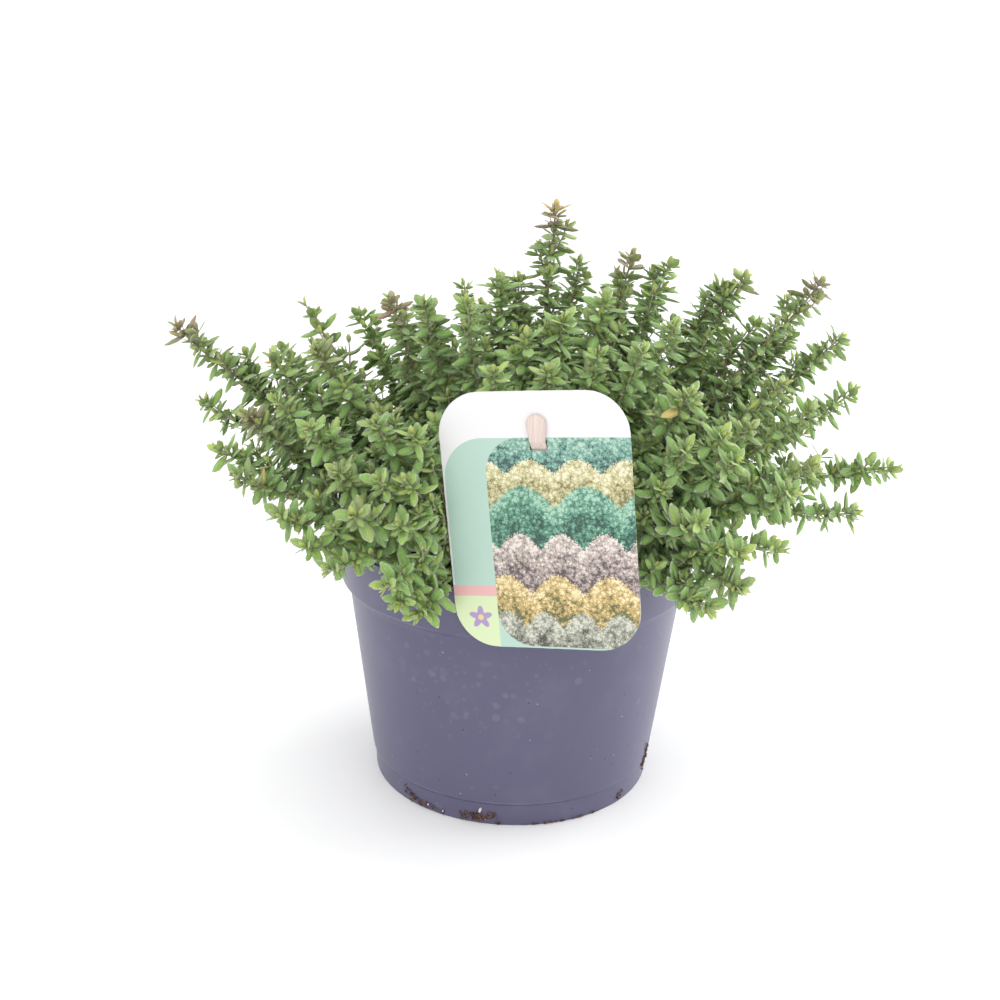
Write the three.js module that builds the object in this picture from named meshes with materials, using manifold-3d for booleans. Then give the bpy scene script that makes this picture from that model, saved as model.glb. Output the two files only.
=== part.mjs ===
// A pot of variegated lemon thyme: a thin nursery pot full of compost, a label card
// held by a flat stake, and leafy shoots that stand in the compost.
// Millimetres, +Z up. The origin is the centre of the pot's underside, and the label
// faces -Y.
import * as THREE from "three";
import { mergeVertices } from "three/addons/utils/BufferGeometryUtils.js";
import Module from "manifold-3d";

// Pot
const RIM_RADIUS = 85;
const POT_HEIGHT = 123;
const POT_SIDES = 32;
const WALL = 1.5;
const FLOOR = 3.4;
const COLLAR_BOTTOM = 99.6;
const COLLAR_BOTTOM_RADIUS = 82.4;
const SHOULDER_Z = 96.5;
const SHOULDER_RADIUS = 78.8;
const GROOVE_Z = 11.5;
const GROOVE_RADIUS = 67.9;
const FOOT_RADIUS = 66.4;
const FOOT_FLARE = 0.6;
const GROOVE_BEVEL = 0.9;
const FOOT_RING_INNER = 58;
const CENTRE_PAD_RADIUS = 22;
const RECESS = 2;
const DRAIN_HOLES = 8;
const DRAIN_RADIUS = 4.5;
const DRAIN_CIRCLE = 46;
const DRAIN_SIDES = 6;

// Compost
const SOIL_EDGE_Z = 107;
const SOIL_TOP_Z = 110;
const SOIL_TOP_RADIUS = 72;
const SOIL_ROUGHNESS = 1.2;

// Clearance between pieces that touch in the real thing, and the wider ones around
// leaves and in the holes that the stems stand in
const GAP = 0.3;
const LEAF_CLEARANCE = 1.2 * GAP;
const STEM_CLEARANCE = 1.3 * GAP;

// Label card, in its own plane: the plane touches the rim a little to the left of the
// front, so its right side stands out from the pot. Angles are in degrees.
const CARD_WIDTH = 79;
const CARD_HEIGHT = 109;
const CARD_THICKNESS = 0.7;
const CARD_CORNER = 18;
const CARD_CENTRE = [37.8, 28.9];
const CARD_BEARING = 16;
const CARD_LEAN = 1;
const CARD_TURN = 6.5;
const CARD_REACH = 85.8;
const SLOT_WIDTH = 8.6;
const SLOT_HEIGHT = 4.4;
const SLOT_CENTRE = 39.6;
const SLOT_MIDDLE = 61;

// Stake, in the same plane: it runs behind the card, through the slot and up in front
const STAKE_TOP = 74;
const STAKE_BOTTOM = -53;
const STAKE_WIDTH = 8.6;
const STAKE_WAIST = 6.6;
const STAKE_THICKNESS = 1;
const STAKE_OFFSET = 1.4;
const STAKE_SPLAY = 17;
const STAKE_BEND = 0.7;
const STAKE_POINT = 14;

// Where the shoots leave the compost. Angles are in degrees.
const CROWN = new THREE.Vector3(0, 0, 110);
const CROWN_RADIUS = 64;
const CROWN_LIMIT = 68;
const CROWN_POWER = 0.8;
const CROWN_FULL_LEAN = 80;
const STEM_SPACING = 13;
const SPACING_ROUNDS = 200;

// Course of a stem: its lean at each end as a share of the tip's lean, the reach of its
// curve from each end, and what changes for the ones that hang over the rim
const STEM_DEPTH = 8;
const START_LEAN = 0.35;
const END_LEAN = 0.75;
const START_REACH = 0.42;
const END_REACH = 0.32;
const HANG_FROM = 60;
const HANG_OVER = 25;
const HANG_START = -0.6;
const HANG_END = 0.45;
const RIM_LIFT = 20;

// Stem section
const STEM_BASE_RADIUS = 2;
const STEM_TIP_RADIUS = 1.3;
const LEAFY_CORE = 1.2;
const STEM_STEPS = 5;
const STEM_CORNERS = 4;

// Leaves. The tip pairs are listed with their distance down from the tip, their angle
// from the stem and their length as a share of a full leaf.
const LEAF_LENGTH = 14;
const LEAF_WIDTH = 7;
const LEAF_THICKNESS = 1.2;
const LEAF_DROOP = 0.16;
const LEAF_EDGE = 6;
const LEAF_FULLNESS = 0.4;
const LEAF_SPREAD = 52;
const TIP_PAIRS = [
  { down: 1.2, spread: 24, scale: 0.62 },
  { down: 7.5, spread: 44, scale: 0.85 },
];
const PAIR_SPACING = 20.5;
const BARE_SHARE = 0.36;

// What a leaf without room tries in turn: sizes, slides along the stem and bends about it
const LEAF_SCALES = [1, 0.8];
const LEAF_SLIDES = [0, 0.02, -0.02, 0.04];
const LEAF_BENDS = [0, 18, -18, 36, -36];

// Corners nearer than this are kept out of the solids
const SLIVER = 0.01;

// Seed of the compost's uneven edge
const SEED = 7;

// Tip of each shoot. The first two groups were read by eye from the photograph, and
// the third is spread by eye over the side that it does not show.
const FRONT_TIPS = [
  [-24, -29, 232],
  [-88, -34, 211],
  [-117, -46, 185],
  [-128, -50, 170],
  [-96, -90, 155],
  [-86, -72, 187],
  [-58, -82, 193],
  [-55, -98, 174],
  [-38, -92, 152],
  [-74, -108, 139],
  [-51, -116, 136],
  [2, -48, 222],
  [32, -58, 218],
  [65, -32, 225],
  [126, -36, 191],
  [143, -58, 152],
  [82, -80, 191],
  [107, -92, 147],
  [73, -102, 161],
  [77, -112, 129],
];
const SIDE_TIPS = [
  [-157, 5, 211],
  [-145, 0, 177],
  [-112, -6, 200],
  [-100, 20, 219],
  [-59, -2, 227],
  [14, 26, 265],
  [-11, 4, 237],
  [26, 34, 240],
  [36, -16, 233],
  [50, 28, 244],
  [101, 20, 237],
  [134, 12, 237],
  [145, 14, 211],
  [151, 0, 190],
  [170, -10, 157],
];
const BACK_TIPS = [
  [-118, 55, 190],
  [-134, 58, 152],
  [-94, 92, 164],
  [-80, 58, 208],
  [-54, 112, 150],
  [-44, 80, 196],
  [-28, 44, 226],
  [-12, 124, 158],
  [2, 86, 206],
  [34, 122, 170],
  [46, 66, 218],
  [70, 100, 182],
  [84, 118, 142],
  [100, 66, 196],
  [130, 48, 172],
  [132, 82, 146],
  [-96, 108, 136],
];

const wasm = await Module();
wasm.setup();

const radians = THREE.MathUtils.degToRad;
const mix = THREE.MathUtils.lerp;
const UP = new THREE.Vector3(0, 0, 1);

// A small seeded generator of numbers from 0 to 1.
function seededDraw(seed) {
  let state = seed;
  return () => {
    state = (Math.imul(state, 1664525) + 1013904223) >>> 0;
    return state / 4294967296;
  };
}

// The closed solid of a three.js geometry, with faces of no area left out.
function solidOf(geometry) {
  geometry.deleteAttribute("normal");
  geometry.deleteAttribute("uv");
  const merged = mergeVertices(geometry, 1e-4);
  const index = merged.index.array;
  const faces = [];
  for (let i = 0; i < index.length; i += 3) {
    const [a, b, c] = index.slice(i, i + 3);
    if (a !== b && b !== c && c !== a) faces.push(a, b, c);
  }
  return new wasm.Manifold(
    new wasm.Mesh({
      numProp: 3,
      vertProperties: merged.attributes.position.array,
      triVerts: new Uint32Array(faces),
    }),
  );
}

// The three.js geometry of a solid.
function geometryOf(solid) {
  const mesh = solid.getMesh();
  const geometry = new THREE.BufferGeometry();
  const positions = new THREE.BufferAttribute(mesh.vertProperties, 3);
  geometry.setAttribute("position", positions);
  geometry.setIndex(new THREE.BufferAttribute(mesh.triVerts, 1));
  geometry.computeVertexNormals();
  return geometry;
}

// A profile of [radius, height] points turned about the vertical axis.
function turned(profile) {
  const points = profile.map(([radius, z]) => new THREE.Vector2(radius, z));
  return new THREE.LatheGeometry(points, POT_SIDES).rotateX(Math.PI / 2);
}

// Moves every vertex of a geometry to the place that a function gives for it.
function reshaped(geometry, place) {
  const position = geometry.attributes.position;
  const vertex = new THREE.Vector3();
  for (let i = 0; i < position.count; i++) {
    const to = place(vertex.fromBufferAttribute(position, i));
    position.setXYZ(i, to.x, to.y, to.z);
  }
  return geometry;
}

function namedMesh(name, geometry, color, roughness) {
  const material = new THREE.MeshStandardMaterial({ color, roughness, metalness: 0 });
  const mesh = new THREE.Mesh(geometry, material);
  mesh.name = name;
  return mesh;
}

// The pot's wall, foot ring and centre pad, open at the top.
function potShell() {
  return solidOf(
    turned([
      [0, 0],
      [CENTRE_PAD_RADIUS, 0],
      [CENTRE_PAD_RADIUS + RECESS, RECESS],
      [FOOT_RING_INNER - RECESS, RECESS],
      [FOOT_RING_INNER, 0],
      [FOOT_RADIUS, 0],
      [FOOT_RADIUS + FOOT_FLARE, GROOVE_Z - GROOVE_BEVEL],
      [GROOVE_RADIUS, GROOVE_Z],
      [SHOULDER_RADIUS, SHOULDER_Z],
      [COLLAR_BOTTOM_RADIUS, COLLAR_BOTTOM],
      [RIM_RADIUS, POT_HEIGHT],
      [RIM_RADIUS - WALL, POT_HEIGHT],
      [COLLAR_BOTTOM_RADIUS - WALL, COLLAR_BOTTOM + GAP * 2],
      [SHOULDER_RADIUS - WALL, SHOULDER_Z],
      [FOOT_RADIUS - WALL, GROOVE_Z],
      [FOOT_RADIUS - WALL - FOOT_FLARE, FLOOR],
      [0, FLOOR],
    ]),
  );
}

// One upright bore through the floor.
function drainBore(turn) {
  const through = 4 * FLOOR;
  const bore = new THREE.CylinderGeometry(DRAIN_RADIUS, DRAIN_RADIUS, through, DRAIN_SIDES);
  bore.rotateX(Math.PI / 2);
  bore.translate(DRAIN_CIRCLE, 0, 0);
  return solidOf(bore.rotateZ(turn));
}

function potSolid() {
  let pot = potShell();
  for (let i = 0; i < DRAIN_HOLES; i++) {
    pot = pot.subtract(drainBore(((i + 0.5) / DRAIN_HOLES) * 2 * Math.PI));
  }
  return pot;
}

// The compost: it follows the inside of the pot, and its level top falls off unevenly
// to the wall.
function soilBlock(draw) {
  const collarSlope = (RIM_RADIUS - COLLAR_BOTTOM_RADIUS) / (POT_HEIGHT - COLLAR_BOTTOM);
  const edgeRadius = COLLAR_BOTTOM_RADIUS + collarSlope * (SOIL_EDGE_Z - COLLAR_BOTTOM);
  const inset = WALL + 2 * GAP;
  const block = turned([
    [0, FLOOR + GAP],
    [FOOT_RADIUS - inset - 1, FLOOR + GAP],
    [SHOULDER_RADIUS - inset, SHOULDER_Z + 0.2],
    [COLLAR_BOTTOM_RADIUS - inset, COLLAR_BOTTOM + 1],
    [edgeRadius - inset - 0.2, SOIL_EDGE_Z],
    [SOIL_TOP_RADIUS, SOIL_TOP_Z],
    [0, SOIL_TOP_Z],
  ]);
  const heights = new Map();
  return reshaped(block, (v) => {
    if (v.z !== SOIL_EDGE_Z) return v;
    const key = Math.round(v.x * 50) + " " + Math.round(v.y * 50);
    if (!heights.has(key)) heights.set(key, SOIL_ROUGHNESS * (2 * draw() - 1));
    return v.setZ(v.z + heights.get(key));
  });
}

// A rounded rectangle with the slot for the stake, in the card's plane.
function cardGeometry() {
  const [middleX, middleY] = CARD_CENTRE;
  const right = middleX + CARD_WIDTH / 2;
  const left = middleX - CARD_WIDTH / 2;
  const top = middleY + CARD_HEIGHT / 2;
  const bottom = middleY - CARD_HEIGHT / 2;
  const c = CARD_CORNER;
  const outline = new THREE.Shape();
  outline.moveTo(left + c, bottom);
  outline.absarc(right - c, bottom + c, c, -Math.PI / 2, 0);
  outline.absarc(right - c, top - c, c, 0, Math.PI / 2);
  outline.absarc(left + c, top - c, c, Math.PI / 2, Math.PI);
  outline.absarc(left + c, bottom + c, c, Math.PI, Math.PI * 1.5);
  const slot = new THREE.Path();
  const slotLeft = SLOT_CENTRE - SLOT_WIDTH / 2;
  const slotRight = SLOT_CENTRE + SLOT_WIDTH / 2;
  slot.moveTo(slotLeft, SLOT_MIDDLE - SLOT_HEIGHT / 2);
  slot.lineTo(slotLeft, SLOT_MIDDLE + SLOT_HEIGHT / 2);
  slot.lineTo(slotRight, SLOT_MIDDLE + SLOT_HEIGHT / 2);
  slot.lineTo(slotRight, SLOT_MIDDLE - SLOT_HEIGHT / 2);
  outline.holes.push(slot);
  const depth = CARD_THICKNESS;
  const card = new THREE.ExtrudeGeometry(outline, { depth, bevelEnabled: false, curveSegments: 4 });
  return card.translate(0, 0, -depth / 2);
}

// Heights along the stake, closer together at its rounded top and at the slot.
function stakeStations() {
  const bend = STAKE_OFFSET / STAKE_BEND;
  const round = STAKE_WIDTH / 2;
  return [
    STAKE_BOTTOM,
    STAKE_BOTTOM + STAKE_POINT,
    0,
    SLOT_MIDDLE - bend,
    SLOT_MIDDLE + bend,
    STAKE_TOP - round,
    STAKE_TOP - round * 0.5,
    STAKE_TOP - round * 0.13,
    STAKE_TOP,
  ];
}

// Half width of the stake at a height: pointed below, waisted at the slot, round on top.
function stakeHalfWidth(height) {
  const above = THREE.MathUtils.smoothstep(height, SLOT_MIDDLE, STAKE_TOP);
  const half = mix(STAKE_WAIST, STAKE_WIDTH, above) / 2;
  const point = THREE.MathUtils.clamp((height - STAKE_BOTTOM) / STAKE_POINT, 0.25, 1);
  const intoTop = Math.max(0, height - (STAKE_TOP - STAKE_WIDTH / 2)) / (STAKE_WIDTH / 2);
  return half * point * Math.max(0.2, Math.sqrt(1 - intoTop * intoTop));
}

// Distance of the stake in front of the card's plane at a height.
function stakeOffset(height) {
  const bend = STAKE_OFFSET / STAKE_BEND;
  const below = SLOT_MIDDLE - bend - height;
  if (below > 0) return -STAKE_OFFSET - below * Math.tan(radians(STAKE_SPLAY));
  const through = (height - SLOT_MIDDLE) * STAKE_BEND;
  return THREE.MathUtils.clamp(through, -STAKE_OFFSET, STAKE_OFFSET);
}

// The stake in the card's plane, a strip of rows at its stations, grown all over by extra.
function stakeGeometry(extra) {
  const stations = stakeStations();
  const rows = stations.length - 1;
  const strip = new THREE.BoxGeometry(2, 1, 1, 1, rows, 1);
  return reshaped(strip, (v) => {
    const height = stations[Math.round((v.y + 0.5) * rows)];
    const x = SLOT_CENTRE + v.x * (stakeHalfWidth(height) + extra);
    const grown = height === STAKE_BOTTOM ? height - extra : height;
    const z = stakeOffset(height) + v.z * (STAKE_THICKNESS + 2 * extra);
    return v.set(x, grown, z);
  });
}

// The card's plane leans back on the rim, is turned a little in itself, and faces a
// little to the left of the front.
function labelPlacement() {
  const place = new THREE.Group();
  place.position.set(0, -CARD_REACH, POT_HEIGHT);
  place.rotation.set(radians(90 - CARD_LEAN), 0, radians(CARD_TURN));
  place.applyMatrix4(new THREE.Matrix4().makeRotationZ(-radians(CARD_BEARING)));
  place.updateMatrix();
  return place;
}

// Where each shoot leaves the compost: below its own tip, nearer the middle the more
// upright the shoot is, then pushed apart until no two stems stand too close.
function crownPoints(tips) {
  const points = tips.map(([x, y, z]) => {
    const lean = new THREE.Vector3(x, y, z).sub(CROWN).angleTo(UP);
    const radius = CROWN_RADIUS * (lean / radians(CROWN_FULL_LEAN)) ** CROWN_POWER;
    return new THREE.Vector2(x, y).setLength(radius);
  });
  for (let round = 0; round < SPACING_ROUNDS; round++) {
    for (let i = 1; i < points.length; i++) {
      for (let j = 0; j < i; j++) {
        const apart = points[i].clone().sub(points[j]);
        const push = (STEM_SPACING - apart.length()) / 2;
        if (push <= 0) continue;
        apart.setLength(push);
        points[i].add(apart);
        points[j].sub(apart);
      }
    }
    points.forEach((point) => point.clampLength(0, CROWN_LIMIT));
  }
  return points;
}

// A stem rises out of the crown, arches outwards and turns up again at its tip. The
// lowest ones go over the rim and hang.
function stemCurve(crownPoint, tip) {
  const end = new THREE.Vector3(...tip);
  const start = new THREE.Vector3(crownPoint.x, crownPoint.y, SOIL_TOP_Z - STEM_DEPTH);
  const lean = end.clone().sub(CROWN).angleTo(UP);
  const outward = end.clone().sub(start).setZ(0).normalize();
  const towards = (angle) =>
    outward.clone().multiplyScalar(Math.sin(angle)).addScaledVector(UP, Math.cos(angle));
  const over = (lean - radians(HANG_FROM)) / radians(HANG_OVER);
  const hang = THREE.MathUtils.clamp(over, 0, 1);
  const length = end.distanceTo(start);
  const startAngle = START_LEAN * lean * (1 + HANG_START * hang);
  const endAngle = (END_LEAN + HANG_END * hang) * lean;
  const reach = START_REACH * length + RIM_LIFT * hang;
  const rise = start.clone().addScaledVector(towards(startAngle), reach);
  const before = end.clone().addScaledVector(towards(endAngle), -END_REACH * length);
  return new THREE.CubicBezierCurve3(start, rise, before, end);
}

// Rings along a stem, which lies in one upright plane: a middle point, the direction
// along the stem, one across it in that plane and one out of the plane.
function stemRings(curve) {
  const sideways = curve.v3.clone().sub(curve.v0).cross(UP).normalize();
  return curve.getSpacedPoints(STEM_STEPS).map((middle, i) => {
    const along = curve.getTangentAt(i / STEM_STEPS);
    const across = sideways.clone().cross(along);
    return { middle, along, across, sideways };
  });
}

// Radius of a stem at a share of its length: bare and woody below, with a slim core
// among the leaves that stands for their close-set bases, and thin again at the tip.
function stemRadius(share) {
  const aboveBare = THREE.MathUtils.smoothstep(share, 0.2, 0.5);
  const belowTip = THREE.MathUtils.smoothstep(1 - share, 0, 0.25);
  return mix(STEM_BASE_RADIUS, STEM_TIP_RADIUS, share) + LEAFY_CORE * aboveBare * belowTip;
}

// A four-cornered stem, grown by extra for the hole that it stands in.
function stemSolid(rings, extra) {
  const stem = new THREE.CylinderGeometry(1, 1, 1, STEM_CORNERS, STEM_STEPS);
  stem.rotateY(Math.PI / STEM_CORNERS);
  return solidOf(
    reshaped(stem, (v) => {
      const step = Math.round((v.y + 0.5) * STEM_STEPS);
      const ring = rings[step];
      const radius = stemRadius(step / STEM_STEPS) + extra;
      const sunk = step === 0 ? -extra : 0;
      return ring.middle
        .clone()
        .addScaledVector(ring.along, sunk)
        .addScaledVector(ring.sideways, v.x * radius)
        .addScaledVector(ring.across, v.z * radius);
    }),
  );
}

// A point of the straight-sided stem at a share of its length, with its directions.
function stemStation(rings, share) {
  const at = THREE.MathUtils.clamp(share, 0, 1) * STEM_STEPS;
  const i = Math.min(STEM_STEPS - 1, Math.floor(at));
  const between = (key) => rings[i][key].clone().lerp(rings[i + 1][key], at - i);
  return {
    middle: between("middle"),
    along: between("along").normalize(),
    across: between("across").normalize(),
    sideways: between("sideways").normalize(),
  };
}

// An oval leaf with a six-sided edge, thickest along its middle and arched back. turn is
// its bearing about the stem and spread is its angle from the stem.
function leafSolid(station, turn, spread, length, extra) {
  const outward = station.across
    .clone()
    .multiplyScalar(Math.cos(turn))
    .addScaledVector(station.sideways, Math.sin(turn));
  const along = station.along
    .clone()
    .multiplyScalar(Math.cos(spread))
    .addScaledVector(outward, Math.sin(spread));
  const facing = station.along
    .clone()
    .multiplyScalar(Math.sin(spread))
    .addScaledVector(outward, -Math.cos(spread));
  const side = along.clone().cross(facing);
  const halfWidth = (LEAF_WIDTH * length) / LEAF_LENGTH / 2 + extra;
  const halfThickness = LEAF_THICKNESS / 2 + extra;
  return solidOf(
    reshaped(new THREE.SphereGeometry(1, LEAF_EDGE, 2), (v) => {
      const even = (v.x + 1) / 2;
      const share = even + LEAF_FULLNESS * even * (1 - even);
      const reach = share * (length + extra);
      const lift = v.y * halfThickness - LEAF_DROOP * length * share * share;
      return station.middle
        .clone()
        .addScaledVector(along, reach)
        .addScaledVector(facing, lift)
        .addScaledVector(side, v.z * halfWidth);
    }),
  );
}

// The leaf pairs of one shoot, from the tip down: share of the stem, spread and length.
function leafPairs(curve) {
  const stem = curve.getLength();
  const pairs = [...TIP_PAIRS];
  const last = pairs.at(-1);
  let down = last.down + last.scale * PAIR_SPACING;
  while (down < stem * (1 - BARE_SHARE)) {
    pairs.push({ down, spread: LEAF_SPREAD, scale: 1 });
    down += PAIR_SPACING;
  }
  return pairs.map(({ down, spread, scale }) => ({
    share: 1 - down / stem,
    spread: radians(spread),
    length: scale * LEAF_LENGTH,
  }));
}

function boxesMeet(a, b) {
  return [0, 1, 2].every((i) => a.min[i] < b.max[i] && b.min[i] < a.max[i]);
}

// True when a grown leaf touches none of the solids of other pieces.
function isClear(grown, others) {
  const box = grown.boundingBox();
  return others.every(({ solid, bounds }) => {
    return !boxesMeet(box, bounds) || grown.intersect(solid).isEmpty();
  });
}

// True when two corners of a solid lie within a sliver of each other.
function hasSliver(solid) {
  const { numVert, numProp, vertProperties } = solid.getMesh();
  const corners = Array.from({ length: numVert }, (_, i) =>
    new THREE.Vector3().fromArray(vertProperties, i * numProp),
  );
  corners.sort((a, b) => a.x - b.x);
  return corners.some((corner, i) => {
    for (let j = i + 1; j < numVert && corners[j].x - corner.x < SLIVER; j++) {
      if (corners[j].distanceTo(corner) < SLIVER) return true;
    }
    return false;
  });
}

// Joins a leaf to its shoot by the first of a few turns, slides and lengths that keeps
// it clear of the neighbours and joins cleanly. Where there is no room it grows none.
function growLeaf(shoot, pair, turn, others) {
  for (const scale of LEAF_SCALES) {
    for (const slide of LEAF_SLIDES) {
      for (const bend of LEAF_BENDS) {
        const station = stemStation(shoot.rings, pair.share + slide);
        const length = pair.length * scale;
        const bearing = turn + radians(bend);
        const grown = leafSolid(station, bearing, pair.spread, length, LEAF_CLEARANCE);
        if (!isClear(grown, others)) continue;
        const leaf = leafSolid(station, bearing, pair.spread, length, 0);
        const joined = shoot.solid.add(leaf);
        if (hasSliver(joined)) continue;
        shoot.solid = joined;
        return leaf;
      }
    }
  }
  return null;
}

const bounded = (owner, solid) => ({ owner, solid, bounds: solid.boundingBox() });

// Every shoot's stem with as many of its leaves as find room.
function leafyShoots(tips, fixedSolids) {
  const crown = crownPoints(tips);
  const shoots = tips.map((tip, i) => {
    const curve = stemCurve(crown[i], tip);
    const rings = stemRings(curve);
    return { curve, rings, solid: stemSolid(rings, 0) };
  });
  const placed = fixedSolids.map((solid) => bounded(-1, solid));
  shoots.forEach((shoot, i) => placed.push(bounded(i, shoot.solid)));
  shoots.forEach((shoot, i) => {
    leafPairs(shoot.curve).forEach((pair, level) => {
      for (const half of [0, 180]) {
        const turn = radians(level * 90 + half);
        const others = placed.filter(({ owner }) => owner !== i);
        const leaf = growLeaf(shoot, pair, turn, others);
        if (leaf) placed.push(bounded(i, leaf));
      }
    });
  });
  return shoots;
}

const draw = seededDraw(SEED);
const tips = [...FRONT_TIPS, ...SIDE_TIPS, ...BACK_TIPS];
const label = labelPlacement();
const card = namedMesh("label_card", cardGeometry(), 0xf4f3ef, 0.45);
const stake = namedMesh("label_stake", stakeGeometry(0), 0xdcc3b0, 0.8);
label.add(card, stake);

const inLabelPlane = (geometry) => solidOf(geometry.clone().applyMatrix4(label.matrix));
const pot = potSolid();
const cardSolid = inLabelPlane(card.geometry);
const stakeSolid = inLabelPlane(stake.geometry);
const stakeHole = inLabelPlane(stakeGeometry(GAP));

let soil = solidOf(soilBlock(draw));
const fixedSolids = [pot, soil, cardSolid, stakeSolid];
const shoots = leafyShoots(tips, fixedSolids);
soil = soil.subtract(stakeHole);
for (const shoot of shoots) {
  soil = soil.subtract(stemSolid(shoot.rings, STEM_CLEARANCE));
}
soil = soil.simplify(SLIVER);

const plant = new THREE.Group();
plant.add(namedMesh("pot", geometryOf(pot), 0x5a5668, 0.5));
plant.add(namedMesh("potting_soil", geometryOf(soil), 0x34281f, 1));
plant.add(label);
shoots.forEach((shoot, i) => {
  const name = "thyme_shoot_" + String(i + 1).padStart(2, "0");
  plant.add(namedMesh(name, geometryOf(shoot.solid), 0x6f9a4a, 0.6));
});

export default plant;
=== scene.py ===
"""Potted variegated lemon thyme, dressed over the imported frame.

Shapes are worked out in millimetres in the frame's own axes: +Z up, the label card towards
-Y, the origin at the centre of the pot's underside. make_piece turns them into metres.
"""

import math

import bpy
import numpy as np
from bpy.props import FloatProperty, FloatVectorProperty, IntProperty, PointerProperty
from mathutils import Matrix, Vector


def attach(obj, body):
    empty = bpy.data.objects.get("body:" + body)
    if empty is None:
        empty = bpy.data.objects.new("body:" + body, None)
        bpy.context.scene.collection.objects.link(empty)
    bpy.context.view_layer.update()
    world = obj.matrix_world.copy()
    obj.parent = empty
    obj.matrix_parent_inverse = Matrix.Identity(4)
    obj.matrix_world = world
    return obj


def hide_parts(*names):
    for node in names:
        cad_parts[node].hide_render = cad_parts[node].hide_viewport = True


bl_info = {
    "name": "Potted lemon thyme",
    "version": (1, 0, 0),
    "blender": (4, 5, 0),
    "location": "View3D > Sidebar > Thyme",
    "description": "Builds a potted variegated lemon thyme over its packed frame",
    "category": "Object",
}

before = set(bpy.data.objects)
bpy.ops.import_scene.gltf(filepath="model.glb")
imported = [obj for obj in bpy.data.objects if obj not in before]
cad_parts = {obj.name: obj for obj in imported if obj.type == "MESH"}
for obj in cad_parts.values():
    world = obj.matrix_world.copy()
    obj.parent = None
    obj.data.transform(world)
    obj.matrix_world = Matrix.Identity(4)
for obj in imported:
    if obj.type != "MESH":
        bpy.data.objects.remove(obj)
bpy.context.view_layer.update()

# Millimetres in a metre, the way up, and the seed of every random draw
METRE = 1000.0
UP = np.array([0.0, 0.0, 1.0])
SEED = 7

# Pot profile
RIM_RADIUS = 85.0
POT_HEIGHT = 123.0
WALL = 1.5
FLOOR = 3.4
COLLAR_BOTTOM = 99.6
COLLAR_BOTTOM_RADIUS = 82.4
SHOULDER_Z = 96.5
SHOULDER_RADIUS = 78.8
GROOVE_Z = 11.5
GROOVE_RADIUS = 67.9
FOOT_RADIUS = 66.4
FOOT_FLARE = 0.6
FOOT_RING_INNER = 58.0
CENTRE_PAD_RADIUS = 22.0
RECESS = 2.0
DRAIN_HOLES = 8
DRAIN_RADIUS = 4.5
DRAIN_CIRCLE = 46.0

# Compost
COMPOST_EDGE_Z = 107.0
COMPOST_TOP_Z = 110.0
COMPOST_TO_WALL = 0.6
COMPOST_TO_FLOOR = 0.3
COMPOST_SIDES = 110
COMPOST_RINGS = 34
# Its top falls between these two radii, and has waves and random lumps
FALL_START = 64.0
FALL_END = 82.0
WAVE_HEIGHT = 0.5
LUMP_HEIGHT = 0.55

# Label card and stake. Places are in the card's own plane, across and up from the point
# where it touches the rim.
CARD_WIDTH = 79.0
CARD_HEIGHT = 109.0
CARD_THICKNESS = 0.7
CARD_CORNER = 18.0
CARD_CENTRE = np.array([37.8, 28.9])
CARD_BEARING = math.radians(16)
CARD_LEAN = math.radians(1)
CARD_TURN = math.radians(6.5)
CARD_REACH = 85.8
CARD_BOW = 0.00035
CARD_POINTS = 160
CARD_RINGS = 12
OUTLINE_STEPS = 600
SLOT_WIDTH = 7.4
SLOT_HEIGHT = 3.8
SLOT_ACROSS = 39.6
SLOT_LEVEL = 61.0
STAKE_TOP = 74.0
STAKE_BOTTOM = -53.0
STAKE_WIDTH = 8.6
STAKE_WAIST = 6.6
STAKE_THICKNESS = 1.0
STAKE_OFFSET = 1.4
STAKE_SPLAY = math.radians(17)
STAKE_BEND = 0.7
STAKE_POINT = 14.0

# Where the shoots leave the compost, and the course of a stem
CROWN = np.array([0.0, 0.0, 110.0])
CROWN_RADIUS = 64.0
CROWN_LIMIT = 68.0
CROWN_POWER = 0.8
CROWN_FULL_LEAN = math.radians(80)
STEM_SPACING = 13.0
SPACING_ROUNDS = 200
STEM_DEPTH = 8.0
START_LEAN = 0.35
END_LEAN = 0.75
START_REACH = 0.42
END_REACH = 0.32
HANG_FROM = math.radians(60)
HANG_OVER = math.radians(25)
HANG_START = -0.6
HANG_END = 0.45
RIM_LIFT = 20.0
STEM_STEPS = 48

# Tip of each shoot of the frame, in the order of its nodes
FRONT_TIPS = [
    (-24, -29, 232), (-88, -34, 211), (-117, -46, 185), (-128, -50, 170),
    (-96, -90, 155), (-86, -72, 187), (-58, -82, 193), (-55, -98, 174),
    (-38, -92, 152), (-74, -108, 139), (-51, -116, 136), (2, -48, 222),
    (32, -58, 218), (65, -32, 225), (126, -36, 191), (143, -58, 152),
    (82, -80, 191), (107, -92, 147), (73, -102, 161), (77, -112, 129),
]
SIDE_TIPS = [
    (-157, 5, 211), (-145, 0, 177), (-112, -6, 200), (-100, 20, 219),
    (-59, -2, 227), (14, 26, 265), (-11, 4, 237), (26, 34, 240),
    (36, -16, 233), (50, 28, 244), (101, 20, 237), (134, 12, 237),
    (145, 14, 211), (151, 0, 190), (170, -10, 157),
]
BACK_TIPS = [
    (-118, 55, 190), (-134, 58, 152), (-94, 92, 164), (-80, 58, 208),
    (-54, 112, 150), (-44, 80, 196), (-28, 44, 226), (-12, 124, 158),
    (2, 86, 206), (34, 122, 170), (46, 66, 218), (70, 100, 182),
    (84, 118, 142), (100, 66, 196), (130, 48, 172), (132, 82, 146),
    (-96, 108, 136),
]

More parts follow.
